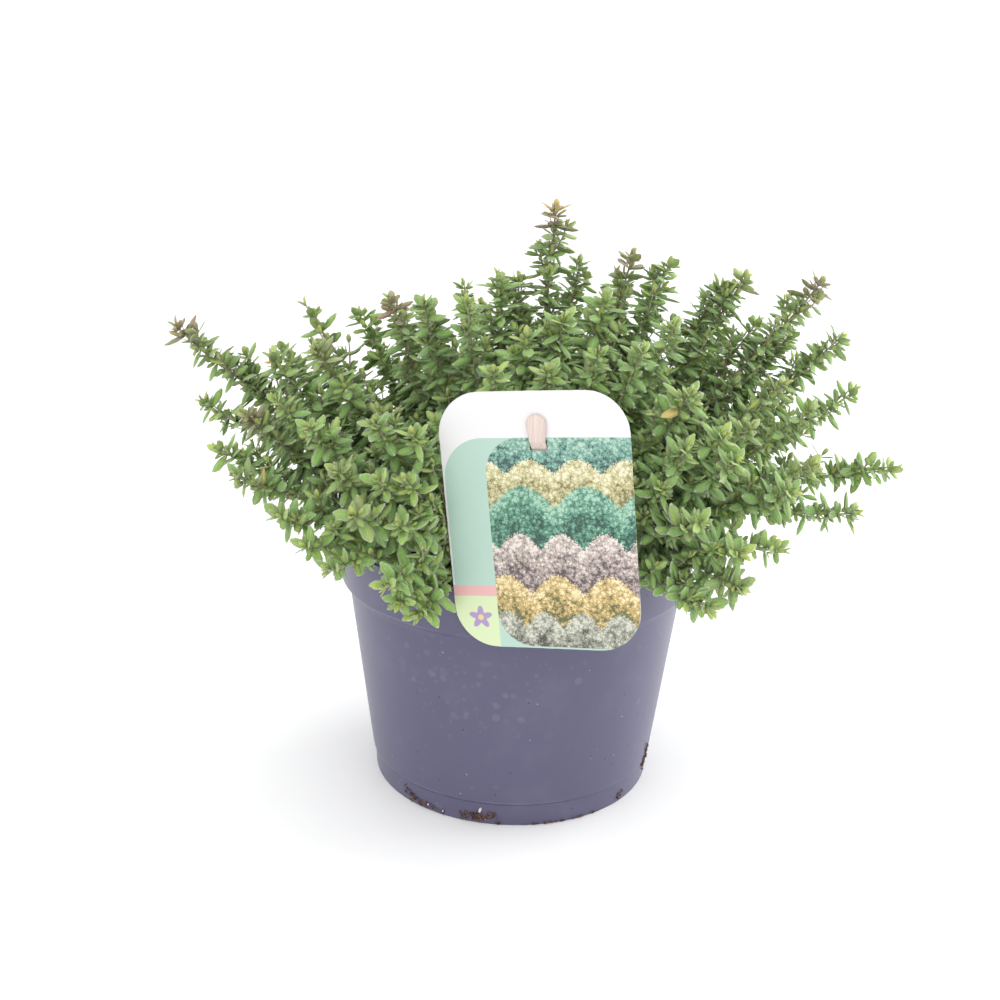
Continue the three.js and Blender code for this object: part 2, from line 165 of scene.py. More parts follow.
# Tips of the shoots between those of the frame
FRONT_INFILL = [
    (-132, 9, 194), (-43, -18, 229), (-104, -47, 192), (-118, -65, 163),
    (-42, -88, 190), (-44, -98, 174), (-64, -104, 161), (-46, -104, 158),
    (-46, -104, 125), (-2, 19, 234), (17, -42, 228), (11, -70, 213),
    (-11, -70, 212), (67, 27, 241), (91, 24, 232), (108, 20, 216),
    (50, -55, 219), (123, 16, 212), (114, -30, 200), (123, -60, 172),
    (67, -88, 187), (87, -86, 182), (112, -78, 167), (89, -103, 149),
    (68, -98, 158), (89, -107, 136), (70, -108, 130), (69, -69, 205),
    (-84, -100, 146), (-72, -88, 174), (96, -62, 190), (58, -92, 172),
    (-38, -101, 119),
]
BACK_INFILL = [
    (-108, 84, 150), (-100, 40, 196), (-70, 84, 184), (-62, 30, 218),
    (-34, 102, 176), (-20, 66, 212), (14, 106, 184), (24, 58, 222),
    (54, 92, 196), (66, 44, 226), (100, 92, 158), (114, 62, 178),
    (56, 116, 152), (-30, 118, 136), (-120, 30, 168), (138, 34, 160),
    (-76, 104, 142), (8, 120, 140), (108, 100, 136), (84, 84, 176),
    (-128, 74, 134), (-48, 60, 208), (96, 44, 206), (36, 84, 206),
]
INNER_INFILL = [
    (-60, -40, 186), (-34, -56, 186), (0, -20, 206), (34, -30, 204),
    (64, -10, 198), (90, -20, 178), (-84, -4, 182), (-56, 30, 188),
    (-24, 40, 196), (16, 50, 198), (52, 40, 196), (86, 30, 184),
    (-88, -50, 152), (100, -40, 152), (-98, 26, 156), (104, 40, 152),
    (-62, 66, 160), (-16, 78, 168), (34, 78, 168), (70, 64, 162),
    (-56, -66, 160), (70, -60, 164), (-10, 10, 214), (44, 8, 214),
]


def unit(vectors):
    """Each vector over its own length."""
    return vectors / np.linalg.norm(vectors, axis=-1, keepdims=True)


def blend_step(low, high, value):
    """The smooth step from 0 at low to 1 at high: t squared times (3 - 2t)."""
    t = np.clip((value - low) / (high - low), 0, 1)
    return t * t * (3 - 2 * t)


# Meshes and pieces


def make_piece(name, shape, materials, replaces=(), smooth_angle=None):
    """A mesh object from a shape in millimetres, riding on the one body of the frame.

    shape holds vertices, and quads and triangles as rows of vertex numbers, and may hold
    quad_uv and triangle_uv for each corner, quad_material and triangle_material for each
    face, and look, four numbers for each vertex that the materials read.
    """
    quads = shape.get("quads", np.zeros((0, 4), int))
    triangles = shape.get("triangles", np.zeros((0, 3), int))
    corners = np.concatenate([quads.ravel(), triangles.ravel()]).astype(np.int32)
    starts = np.concatenate(
        [4 * np.arange(len(quads)), quads.size + 3 * np.arange(len(triangles))]
    ).astype(np.int32)
    mesh = bpy.data.meshes.new(name)
    mesh.vertices.add(len(shape["vertices"]))
    mesh.vertices.foreach_set("co", (shape["vertices"] / METRE).astype(np.float32).ravel())
    mesh.loops.add(len(corners))
    mesh.loops.foreach_set("vertex_index", corners)
    mesh.polygons.add(len(starts))
    mesh.polygons.foreach_set("loop_start", starts)
    mesh.polygons.foreach_set("use_smooth", np.ones(len(starts), bool))
    if "quad_material" in shape:
        numbers = np.concatenate([shape["quad_material"], shape["triangle_material"]])
        mesh.polygons.foreach_set("material_index", numbers.astype(np.int32))
    mesh.update(calc_edges=True)
    if "quad_uv" in shape:
        triangle_uv = shape.get("triangle_uv", np.zeros((0, 3, 2)))
        flat = np.concatenate([shape["quad_uv"].ravel(), triangle_uv.ravel()])
        mesh.uv_layers.new(name="UVMap").data.foreach_set("uv", flat.astype(np.float32))
    if "look" in shape:
        look = mesh.attributes.new("look", "FLOAT_COLOR", "POINT")
        look.data.foreach_set("color", shape["look"].astype(np.float32).ravel())
    for material in materials:
        mesh.materials.append(material)
    if smooth_angle is not None:
        mesh.set_sharp_from_angle(angle=smooth_angle)
    piece = bpy.data.objects.new(name, mesh)
    bpy.context.scene.collection.objects.link(piece)
    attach(piece, "root")
    if replaces:
        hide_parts(*replaces)
    return piece


def joined_shape(shapes):
    """Several shapes as one, with each one's vertex numbers moved past those before it."""
    sizes = [len(shape["vertices"]) for shape in shapes]
    starts = np.cumsum([0] + sizes[:-1])
    whole = {}
    for key in shapes[0]:
        rows = [shape[key] for shape in shapes]
        if key in ("quads", "triangles"):
            rows = [row + start for row, start in zip(rows, starts)]
        whole[key] = np.concatenate(rows)
    return whole


def grid_quads(rows, columns, closed):
    """Quads between the points of a grid of rows, numbered row by row.

    closed joins each row's last point to its first.
    """
    first = np.arange(rows - 1)[:, None] * columns
    here = np.arange(columns if closed else columns - 1)[None, :]
    beside = (here + 1) % columns
    corners = [first + here, first + beside, first + columns + beside, first + columns + here]
    return np.stack(corners, axis=-1).reshape(-1, 4)


def end_fans(rows, columns):
    """Triangles that close the two ends of a tube of rows of points.

    The points at the middles of its ends come after those of its rows, and each has a fan
    of triangles to its row.
    """
    here = np.arange(columns)
    beside = (here + 1) % columns
    low = rows * columns
    last = low - columns
    bottom = np.stack([np.full(columns, low), beside, here], axis=-1)
    top = np.stack([np.full(columns, low + 1), last + here, last + beside], axis=-1)
    return np.concatenate([bottom, top])


def turned_shape(profile, sides):
    """A profile of (radius, height) points that starts and ends on the axis, turned about Z.

    Point (i, j) is (r cos a, r sin a, z) of profile point i at angle a = 2 pi j / sides,
    and the two ends are single points with a fan of triangles.
    """
    radius, height = np.array(profile, float).T
    angle = 2 * np.pi * np.arange(sides) / sides
    ring = np.stack([np.cos(angle), np.sin(angle)], axis=-1)
    rows = np.empty((len(radius) - 2, sides, 3))
    rows[..., :2] = radius[1:-1, None, None] * ring[None]
    rows[..., 2] = height[1:-1, None]
    ends = np.array([[0, 0, height[0]], [0, 0, height[-1]]])
    quads = grid_quads(len(rows), sides, closed=True)
    return {
        "vertices": np.concatenate([rows.reshape(-1, 3), ends]),
        "quads": quads,
        "triangles": end_fans(len(rows), sides),
    }


# Shader nodes


# The inputs and the output of a Mix node that mixes colours
MIX_SHARE = 0
MIX_FIRST = 6
MIX_SECOND = 7
MIX_RESULT = 2


class Shader:
    """A material's or a node group's tree, with short calls for the nodes used here.

    A value given to a call is another node's socket, which is linked, or a constant.
    """

    def __init__(self, tree):
        self.tree = tree

    def feed(self, socket, value):
        """Links an input to another node's socket, or sets it to a constant."""
        if isinstance(value, bpy.types.NodeSocket):
            self.tree.links.new(value, socket)
        else:
            socket.default_value = value

    def node(self, kind, values=(), **settings):
        """A new node with settings, whose inputs take the values."""
        node = self.tree.nodes.new("ShaderNode" + kind)
        for key, value in settings.items():
            setattr(node, key, value)
        for key, value in dict(values).items():
            self.feed(node.inputs[key], value)
        return node

    def math(self, operation, a, b=0.0, clamp=False):
        """An operation on a and b, held between 0 and 1 where clamp is set."""
        node = self.node("Math", {0: a, 1: b}, operation=operation, use_clamp=clamp)
        return node.outputs[0]

    def add(self, a, b, clamp=False):
        """a and b together."""
        return self.math("ADD", a, b, clamp)

    def minus(self, a, b, clamp=False):
        """a less b."""
        return self.math("SUBTRACT", a, b, clamp)

    def times(self, a, b):
        """a times b."""
        return self.math("MULTIPLY", a, b)

    def over(self, a, b):
        """a divided by b."""
        return self.math("DIVIDE", a, b)

    def larger(self, a, b):
        """The larger of a and b."""
        return self.math("MAXIMUM", a, b)

    def away(self, a, b):
        """How far a is from b, without a sign."""
        return self.math("ABSOLUTE", self.minus(a, b))

    def squares(self, a, b):
        """a squared and b squared together."""
        return self.add(self.math("POWER", a, 2.0), self.math("POWER", b, 2.0))

    def step(self, value, low, high, bottom=0.0, top=1.0):
        """bottom below low, top above high, and a smooth step between."""
        values = {"Value": value, "From Min": low, "From Max": high}
        values.update({"To Min": bottom, "To Max": top})
        node = self.node("MapRange", values, interpolation_type="SMOOTHSTEP")
        return node.outputs["Result"]

    def mix(self, share, a, b):
        """Colour a where share is 0, colour b where it is 1, and a blend between."""
        values = {MIX_SHARE: share, MIX_FIRST: a, MIX_SECOND: b}
        return self.node("Mix", values, data_type="RGBA").outputs[MIX_RESULT]

    def noise(self, place, scale, detail=2.0):
        """Soft noise from 0 to 1, with scale waves in a metre."""
        values = {"Vector": place, "Scale": scale, "Detail": detail}
        return self.node("TexNoise", values).outputs["Fac"]

    def cells(self, place, scale):
        """The outputs of a Voronoi texture with scale cells in a metre."""
        return self.node("TexVoronoi", {"Vector": place, "Scale": scale}).outputs

    def split(self, vector):
        """The three parts of a vector or a colour."""
        return self.node("SeparateXYZ", {0: vector}).outputs

    def bump(self, height, distance):
        """Normals tilted by a height from 0 to 1 over a distance in metres."""
        values = {"Height": height, "Distance": distance, "Strength": 1.0}
        return self.node("Bump", values).outputs["Normal"]

    def group(self, group, values):
        """The outputs of a node group whose inputs take the values."""
        return self.node("Group", values, node_tree=group).outputs

    def place(self):
        """The place on the piece, in its own metres."""
        return self.node("TexCoord").outputs["Object"]


def rgba(colour):
    """A colour with full cover as its fourth number."""
    return (*colour[:3], 1.0)


def new_material(name):
    """A material with one Principled shader, its tree's Shader and the Principled node."""
    material = bpy.data.materials.new(name)
    material.use_nodes = True
    nodes = material.node_tree.nodes
    return material, Shader(material.node_tree), nodes["Principled BSDF"]


def finish_surface(shader, principled, values):
    """Links or sets the Principled shader's own sockets by their names."""
    for name, value in values.items():
        shader.feed(principled.inputs[name], value)


def fleck_group():
    """Small round flecks scattered over a surface.

    The value falls from 1 at each fleck's middle to 0 at its edge: it is a Voronoi
    distance against a size, and Share of the cells keep their fleck.
    """
    if "Flecks" in bpy.data.node_groups:
        return bpy.data.node_groups["Flecks"]
    tree = bpy.data.node_groups.new("Flecks", "ShaderNodeTree")
    tree.interface.new_socket("Vector", in_out="INPUT", socket_type="NodeSocketVector")
    for name, default in (("Scale", 1000.0), ("Size", 0.3), ("Share", 0.2)):
        socket = tree.interface.new_socket(name, in_out="INPUT", socket_type="NodeSocketFloat")
        socket.default_value = default
    for name in ("Mask", "Shade"):
        tree.interface.new_socket(name, in_out="OUTPUT", socket_type="NodeSocketFloat")
    shader = Shader(tree)
    given = tree.nodes.new("NodeGroupInput")
    cells = shader.cells(given.outputs["Vector"], given.outputs["Scale"])
    draw = shader.split(cells["Color"])
    near = shader.over(cells["Distance"], given.outputs["Size"])
    inside = shader.minus(1.0, near, clamp=True)
    kept = shader.math("LESS_THAN", draw[0], given.outputs["Share"])
    result = tree.nodes.new("NodeGroupOutput")
    shader.feed(result.inputs["Mask"], shader.times(inside, kept))
    shader.feed(result.inputs["Shade"], draw[1])
    return tree


# Pot


class PotSettings(bpy.types.PropertyGroup):
    """Size of the pot's mesh and the look of its plastic"""

    sides: IntProperty(
        name="Sides", description="Faces round the pot", default=160, min=32, max=256
    )
    colour: FloatVectorProperty(
        name="Colour",
        description="Colour of the moulded plastic",
        subtype="COLOR",
        default=(0.090, 0.085, 0.152),
        min=0,
        max=1,
    )
    roughness: FloatProperty(
        name="Roughness", description="Roughness of the plastic", default=0.36, min=0, max=1
    )


def pot_profile():
    """The pot's section, from the middle of its underside out, up, over the rim and back in.

    Corners of the frame's profile are kept, with a small rounding added beside each.
    """
    half = WALL / 2
    return [
        (0, 0), (CENTRE_PAD_RADIUS, 0), (CENTRE_PAD_RADIUS + RECESS, RECESS),
        (FOOT_RING_INNER - RECESS, RECESS), (FOOT_RING_INNER, 0),
        (FOOT_RADIUS - 0.5, 0), (FOOT_RADIUS - 0.1, 0.15), (FOOT_RADIUS, 0.6),
        (FOOT_RADIUS + FOOT_FLARE - 0.05, GROOVE_Z - 1.4),
        (FOOT_RADIUS + FOOT_FLARE, GROOVE_Z - 0.9),
        (GROOVE_RADIUS - 0.25, GROOVE_Z - 0.35), (GROOVE_RADIUS, GROOVE_Z + 0.1),
        (GROOVE_RADIUS + 0.15, GROOVE_Z + 1),
        (SHOULDER_RADIUS - 0.25, SHOULDER_Z - 2), (SHOULDER_RADIUS, SHOULDER_Z - 0.2),
        (SHOULDER_RADIUS + 0.5, SHOULDER_Z + 0.5),
        (COLLAR_BOTTOM_RADIUS - 0.6, COLLAR_BOTTOM - 0.5),
        (COLLAR_BOTTOM_RADIUS - 0.1, COLLAR_BOTTOM + 0.1),
        (COLLAR_BOTTOM_RADIUS + 0.08, COLLAR_BOTTOM + 0.9),
        (RIM_RADIUS - 0.08, POT_HEIGHT - 0.8), (RIM_RADIUS - 0.15, POT_HEIGHT - 0.25),
        (RIM_RADIUS - half + 0.2, POT_HEIGHT), (RIM_RADIUS - half - 0.2, POT_HEIGHT),
        (RIM_RADIUS - WALL + 0.1, POT_HEIGHT - 0.25), (RIM_RADIUS - WALL, POT_HEIGHT - 0.8),
        (COLLAR_BOTTOM_RADIUS - WALL, COLLAR_BOTTOM + 0.6),
        (SHOULDER_RADIUS - WALL, SHOULDER_Z), (FOOT_RADIUS - WALL, GROOVE_Z),
        (FOOT_RADIUS - WALL - FOOT_FLARE, FLOOR), (0, FLOOR),
    ]


# Dried water spots: the middle of the crowd on the pot's front, across and up, and its reach
# each way, in metres, and the cells in a metre, share and strength of three sizes of spot
SPOTS_MIDDLE = (-0.020, 0.074)
SPOTS_REACH = (0.030, 0.022)
SPOT_SIZES = ((110.0, 0.8, 0.22), (170.0, 0.9, 0.24), (300.0, 0.8, 0.18))
# Painted highlights along the lips of the groove and the collar: height, width and strength
LIP_HIGHLIGHTS = ((GROOVE_Z + 0.5, 0.3, 0.3), (COLLAR_BOTTOM + 0.2, 0.4, 0.2))
# Grey of the water spots and dust, also used for the painted highlights on the lips
SPOT_DUST_AND_HIGHLIGHT_GREY = (0.42, 0.40, 0.50, 1)
# Colour of the painted shade line just under the groove's lip
PAINTED_GROOVE_SHADE = (0.02, 0.018, 0.03, 1)
DARK_SPECK = (0.035, 0.022, 0.02, 1)
PALE_SPECK = (0.6, 0.57, 0.6, 1)


def water_spots(shader, place, x, y, z):
    """Dried water spots: in Voronoi cells of three sizes, a faint disc with a thin ring.

    Nearly all are where the squares of the distances across and up from the crowd's middle,
    each over the crowd's reach, add up to less than 2, and on the front.
    """
    side = shader.over(shader.minus(x, SPOTS_MIDDLE[0]), SPOTS_REACH[0])
    rise = shader.over(shader.minus(z, SPOTS_MIDDLE[1]), SPOTS_REACH[1])
    crowd = shader.step(shader.squares(side, rise), 0.5, 2.2, 1.0, 0.05)
    crowd = shader.times(crowd, shader.step(y, -0.03, 0.0, 1.0, 0.12))
    marks = 0.0
    for scale, share, strength in SPOT_SIZES:
        spots = shader.cells(place, scale)
        draw = shader.split(spots["Color"])
        radius = shader.add(shader.times(draw[0], 0.22), 0.14)
        out = shader.over(spots["Distance"], radius)
        disc = shader.step(out, 0.6, 1.05, 0.4, 0.0)
        ring = shader.step(shader.away(out, 0.9), 0.0, 0.11, 0.45, 0.0)
        kept = shader.math("LESS_THAN", draw[1], shader.times(crowd, share))
        faint = shader.times(shader.add(disc, ring), kept)
        faint = shader.times(faint, shader.times(draw[2], strength))
        marks = shader.larger(faint, marks)
    return marks


def lip_highlights(shader, place, x, z):
    """Painted highlights along the lips of the groove and the collar, in patches, most on the left.
    """
    lips = 0.0
    for height, width, strength in LIP_HIGHLIGHTS:
        off = shader.away(z, height / METRE)
        pale = shader.step(off, 0.2 * width / METRE, width / METRE, strength, 0.0)
        lips = shader.larger(pale, lips)
    # Patches where the painted highlight shows, strongest on the left
    highlit_patches = shader.step(shader.noise(place, 30.0, 2.0), 0.35, 0.6)
    highlit_patches = shader.times(highlit_patches, shader.step(x, -0.02, 0.03, 1.0, 0.25))
    return shader.times(lips, highlit_patches)


def pot_material(settings):
    """Satin plastic with fine moulding grain, dried water spots and dust, painted highlights on
    the lips of the groove and the collar, a painted shade line in the groove, and dark and pale
    specks that lie thickest near the foot.
    """
    material, shader, principled = new_material("moulded_pot_plastic")
    place = shader.place()
    x, y, z = shader.split(place)
    marks = water_spots(shader, place, x, y, z)
    dust = shader.step(shader.noise(place, 45.0, 6.0), 0.5, 0.85, 0.0, 0.07)
    # The lip highlights added to the marks here are painted light; the spots and dust are real
    # marks
    marks = shader.add(marks, lip_highlights(shader, place, x, z))
    marks = shader.add(marks, dust, clamp=True)
    colour = shader.mix(marks, rgba(settings.colour), SPOT_DUST_AND_HIGHLIGHT_GREY)
    # A painted shade line just under the groove's lip, where the step in the wall is in shadow
    groove = shader.away(z, (GROOVE_Z - 0.1) / METRE)
    groove = shader.step(groove, 0.1 / METRE, 0.3 / METRE, 0.7, 0.0)
    colour = shader.mix(groove, colour, PAINTED_GROOVE_SHADE)
    flecks = fleck_group()
    low = shader.step(z, 0.005, 0.06, 0.26, 0.04)
    low = shader.add(low, shader.step(x, 0.02, 0.05, 0.0, 0.1))
    dark = shader.group(flecks, {"Vector": place, "Scale": 280.0, "Size": 0.12, "Share": low})
    colour = shader.mix(shader.step(dark["Mask"], 0.0, 0.25), colour, DARK_SPECK)
    pale = shader.group(flecks, {"Vector": place, "Scale": 360.0, "Size": 0.11, "Share": 0.05})
    colour = shader.mix(shader.step(pale["Mask"], 0.0, 0.3, 0.0, 0.8), colour, PALE_SPECK)
    rough = shader.add(shader.times(marks, 0.4), settings.roughness)
    grain = shader.noise(place, 1400.0, 2.0)
    wave = shader.noise(place, 9.0, 1.0)
    height = shader.add(shader.times(wave, 6.0), grain)
    finish_surface(shader, principled, {
        "Base Color": colour,
        "Roughness": rough,
        "Normal": shader.bump(height, 0.00006),
    })
    return material


# The cutters of the drain holes reach from below the floor to above it
BORE_BOTTOM = -5
BORE_TOP = 8
BORE_SIDES = 24


class THYME_OT_pot(bpy.types.Operator):
    """Makes the tapered pot with its collar, foot ring and drain holes"""

    bl_idname = "thyme.pot"
    bl_label = "Make the pot"

    def execute(self, context):
        settings = context.scene.thyme_pot
        shape = turned_shape(pot_profile(), settings.sides)
        pot = make_piece("nursery_pot", shape, [pot_material(settings)], ["pot"])
        drill_floor(pot)
        pot.data.set_sharp_from_angle(angle=math.radians(35))
        return {"FINISHED"}


def drill_floor(pot):
    """Cuts the ring of upright round holes through the pot's floor."""
    angles = (np.arange(DRAIN_HOLES) + 0.5) * 2 * np.pi / DRAIN_HOLES
    section = [
        (0, BORE_BOTTOM), (DRAIN_RADIUS, BORE_BOTTOM), (DRAIN_RADIUS, BORE_TOP), (0, BORE_TOP),
    ]
    bore = turned_shape(section, BORE_SIDES)
    bores = []
    for angle in angles:
        moved = dict(bore)
        middle = [DRAIN_CIRCLE * math.cos(angle), DRAIN_CIRCLE * math.sin(angle), 0]
        moved["vertices"] = bore["vertices"] + middle
        bores.append(moved)
    shape = joined_shape(bores)
    mesh = bpy.data.meshes.new("drain_bores")
    faces = [*shape["quads"].tolist(), *shape["triangles"].tolist()]
    mesh.from_pydata((shape["vertices"] / METRE).tolist(), [], faces)
    cutter = bpy.data.objects.new("drain_bores", mesh)
    bpy.context.scene.collection.objects.link(cutter)
    cut = pot.modifiers.new("drain_holes", "BOOLEAN")
    cut.operation = "DIFFERENCE"
    cut.solver = "EXACT"
    cut.object = cutter
    graph = bpy.context.evaluated_depsgraph_get()
    pot.data = bpy.data.meshes.new_from_object(pot.evaluated_get(graph))
    pot.modifiers.clear()
    bpy.data.objects.remove(cutter)


# Compost


class CompostSettings(bpy.types.PropertyGroup):
    """Look of the compost and how many crumbs lie on it"""

    crumbs: IntProperty(
        name="Crumbs", description="Loose crumbs on the compost", default=600, min=0, max=3000
    )
    colour: FloatVectorProperty(
        name="Colour",
        description="Colour of the damp compost",
        subtype="COLOR",
        default=(0.042, 0.026, 0.018),
        min=0,
        max=1,
    )


def compost_height(x, y):
    """Height of the compost: level in the middle, with a smooth fall to the wall, and with
    waves of the sine of x times the sine of y plus the sine of both together.
    """
    radius = np.hypot(x, y)
    fall = (COMPOST_TOP_Z - COMPOST_EDGE_Z) * blend_step(FALL_START, FALL_END, radius)
    waves = np.sin(0.31 * x + 1.3) * np.sin(0.27 * y + 0.4) + np.sin(0.11 * x - 0.17 * y)
    return COMPOST_TOP_Z - fall + WAVE_HEIGHT * waves


def compost_shape():
    """The compost: its profile follows the pot's wall, and its top is compost_height with a
    random lump on each point.
    """
    inset = WALL + COMPOST_TO_WALL
    slope = (RIM_RADIUS - COLLAR_BOTTOM_RADIUS) / (POT_HEIGHT - COLLAR_BOTTOM)
    edge = COLLAR_BOTTOM_RADIUS + slope * (COMPOST_EDGE_Z - COLLAR_BOTTOM) - inset - 0.2
    bottom = FLOOR + COMPOST_TO_FLOOR
    wall = [
        (0, bottom), (FOOT_RADIUS - inset - 1, bottom),
        (SHOULDER_RADIUS - inset, SHOULDER_Z + 0.2),
        (COLLAR_BOTTOM_RADIUS - inset, COLLAR_BOTTOM + 1),
    ]
    top = [(edge * share, COMPOST_TOP_Z) for share in np.linspace(1, 0, COMPOST_RINGS)]
    shape = turned_shape(wall + top, COMPOST_SIDES)
    x, y, z = shape["vertices"].T
    lumps = np.random.default_rng(SEED).normal(0, LUMP_HEIGHT, len(x))
    raised = np.where(z > COMPOST_TOP_Z - 1, compost_height(x, y) + lumps, z)
    shape["vertices"] = np.stack([x, y, raised], axis=-1)
    return shape


def grain_shape(places, sizes, rng):
    """Lumpy grains, one for each place: an octahedron whose edges are halved and whose points
    are pushed onto a ball, then squashed and turned at random. Each has 32 triangles.
    """
    poles = np.array(
        [[1, 0, 0], [0, 1, 0], [0, 0, 1], [-1, 0, 0], [0, -1, 0], [0, 0, -1]], float
    )
    edges = [(0, 1), (1, 3), (3, 4), (4, 0), (0, 2), (1, 2), (3, 2), (4, 2)]
    edges += [(0, 5), (1, 5), (3, 5), (4, 5)]
    middle = {pair: 6 + i for i, pair in enumerate(edges)}
    middle.update({(b, a): i for (a, b), i in list(middle.items())})
    ball = unit(np.concatenate([poles, [(poles[a] + poles[b]) / 2 for a, b in edges]]))
    faces = []
    for a, b, c in (
        (0, 1, 2), (1, 3, 2), (3, 4, 2), (4, 0, 2), (1, 0, 5), (3, 1, 5), (4, 3, 5), (0, 4, 5),
    ):
        ab, bc, ca = middle[a, b], middle[b, c], middle[c, a]
        faces += [(a, ab, ca), (ab, b, bc), (ca, bc, c), (ab, bc, ca)]
    count = len(places)
    stretch = rng.uniform(0.55, 1.25, (count, 1, 3)) * sizes[:, None, None]
    bumps = rng.uniform(0.78, 1.12, (count, len(ball), 1))
    turn, _ = np.linalg.qr(rng.normal(size=(count, 3, 3)))
    turn *= np.sign(np.linalg.det(turn))[:, None, None]
    local = ball[None] * bumps * stretch
    vertices = np.einsum("nij,nkj->nki", turn, local) + places[:, None]
    step = np.arange(count)[:, None, None] * len(ball)
    return {
        "vertices": vertices.reshape(-1, 3),
        "triangles": (np.array(faces)[None] + step).reshape(-1, 3),
    }


# The compost's light crumbs are this many times as bright as its own colour
CRUMB_LIGHT = 3.4
STRAW = (0.22, 0.15, 0.08, 1)
PERLITE_PIT = (0.42, 0.38, 0.33, 1)
PERLITE_WHITE = (0.85, 0.83, 0.79, 1)


def compost_material(settings):
    """Damp brown compost: dark and light crumbs, bits of straw and a rough surface."""
    material, shader, principled = new_material("damp_compost")
    place = shader.place()
    crumbs = shader.noise(place, 420.0, 6.0)
    light = rgba([channel * CRUMB_LIGHT for channel in settings.colour])
    colour = shader.mix(shader.step(crumbs, 0.35, 0.7), rgba(settings.colour), light)
    values = {"Vector": place, "Scale": 500.0, "Size": 0.3, "Share": 0.06}
    straw = shader.group(fleck_group(), values)
    colour = shader.mix(shader.step(straw["Mask"], 0.1, 0.4), colour, STRAW)
    height = shader.add(crumbs, shader.noise(place, 1500.0, 3.0))
    finish_surface(shader, principled, {
        "Base Color": colour,
        "Roughness": 0.92,
        "Specular IOR Level": 0.25,
        "Normal": shader.bump(height, 0.0009),
    })
    return material


def perlite_material():
    """White porous grains with small dark pits."""
    material, shader, principled = new_material("perlite_grain")
    pits = shader.noise(shader.place(), 1800.0, 3.0)
    finish_surface(shader, principled, {
        "Base Color": shader.mix(shader.step(pits, 0.3, 0.55), PERLITE_PIT, PERLITE_WHITE),
        "Roughness": 0.85,
        "Normal": shader.bump(pits, 0.0004),
    })
    return material


def scattered(count, reach, rng):
    """Random (x, y) places, spread evenly over a disc: the radius squared is drawn evenly."""
    radius = np.sqrt(rng.uniform(0, reach * reach, count))
    angle = rng.uniform(0, 2 * np.pi, count)
    return radius * np.cos(angle), radius * np.sin(angle)


# How many white grains lie on the compost, and how far out its loose bits lie
PERLITE_GRAINS = 40
LOOSE_REACH = 78
# Least and greatest size of the crumbs and of the white grains
CRUMB_SIZES = (0.7, 2.2)
PERLITE_SIZES = (0.6, 1.4)


class THYME_OT_compost(bpy.types.Operator):
    """Makes the compost in the pot with its loose crumbs and white perlite grains"""

    bl_idname = "thyme.compost"
    bl_label = "Make the compost"

    def execute(self, context):
        settings = context.scene.thyme_compost
        earth = compost_material(settings)
        make_piece("compost", compost_shape(), [earth], ["potting_soil"])
        rng = np.random.default_rng(SEED + 1)
        for name, count, size_range, material in (
            ("compost_crumbs", settings.crumbs, CRUMB_SIZES, earth),
            ("perlite", PERLITE_GRAINS, PERLITE_SIZES, perlite_material()),
        ):
            x, y = scattered(count, LOOSE_REACH, rng)
            sizes = rng.uniform(*size_range, count)
            places = np.stack([x, y, compost_height(x, y) + 0.3 * sizes], axis=-1)
            make_piece(name, grain_shape(places, sizes, rng), [material])
        return {"FINISHED"}


# Crumbs on the pot's foot


# Their clusters: bearing from the front in degrees and its spread, height and its
# spread, and how many crumbs
FOOT_CLUSTERS = [
    (-46, 2.0, 5.6, 1.6, 12), (-42, 3.0, 3.4, 1.2, 40), (-37, 3.5, 2.6, 0.9, 44),
    (-31, 4.0, 2.0, 0.8, 22), (-18, 2.0, 3.0, 0.9, 40), (-12.5, 3.4, 3.3, 1.1, 150),
    (-7, 2.0, 4.4, 1.2, 60), (-4, 1.5, 1.0, 0.5, 10), (14, 9.0, 0.5, 0.2, 34),
    (32, 8.0, 0.6, 0.3, 28), (51, 1.4, 3.4, 1.0, 26), (71, 2.0, 15.0, 2.6, 60),
    (73, 2.0, 9.0, 2.4, 40), (124, 4.0, 2.0, 1.2, 40), (182, 3.0, 2.0, 1.0, 30),
    (228, 3.0, 2.4, 1.4, 30),
]
# Bearing, height and size of the white grains among them
FOOT_GRAINS = [
    (-11.2, 7.4, 1.1), (-9.0, 2.6, 0.45), (-34.0, 3.0, 0.5), (-27.0, 2.2, 0.45), (73.0, 10.5, 0.5),
]


def on_foot(bearing, height, stand):
    """Places at a bearing and height, standing out from the pot's foot or wall.

    The radius is the wall's at that height plus stand, and the bearing is from the front.
    """
    wall = np.interp(
        height, [0, GROOVE_Z - 1, GROOVE_Z, SHOULDER_Z],
        [FOOT_RADIUS, FOOT_RADIUS + FOOT_FLARE, GROOVE_RADIUS, SHOULDER_RADIUS],
    )
    radius = wall + stand
    return np.stack([radius * np.sin(bearing), -radius * np.cos(bearing), height], axis=-1)


DRIED_DARK = (0.070, 0.038, 0.030, 1)
DRIED_PALE = (0.20, 0.122, 0.098, 1)
DRIED_FIBRE = (0.42, 0.30, 0.24, 1)
# Least and greatest size of the crumbs on the foot
FOOT_CRUMB_SIZES = (0.14, 0.58)


def dried_crumb_material():
    """Dried compost: dark and paler brown crumbs with light fibres."""
    material, shader, principled = new_material("dried_compost")
    place = shader.place()
    kinds = shader.step(shader.noise(place, 500.0, 2.0), 0.35, 0.65)
    colour = shader.mix(kinds, DRIED_DARK, DRIED_PALE)
    fibres = shader.noise(place, 2200.0, 3.0)
    colour = shader.mix(shader.step(fibres, 0.55, 0.75, 0.0, 0.5), colour, DRIED_FIBRE)
    finish_surface(shader, principled, {
        "Base Color": colour,
        "Roughness": 0.9,
        "Specular IOR Level": 0.2,
        "Normal": shader.bump(fibres, 0.0005),
    })
    return material


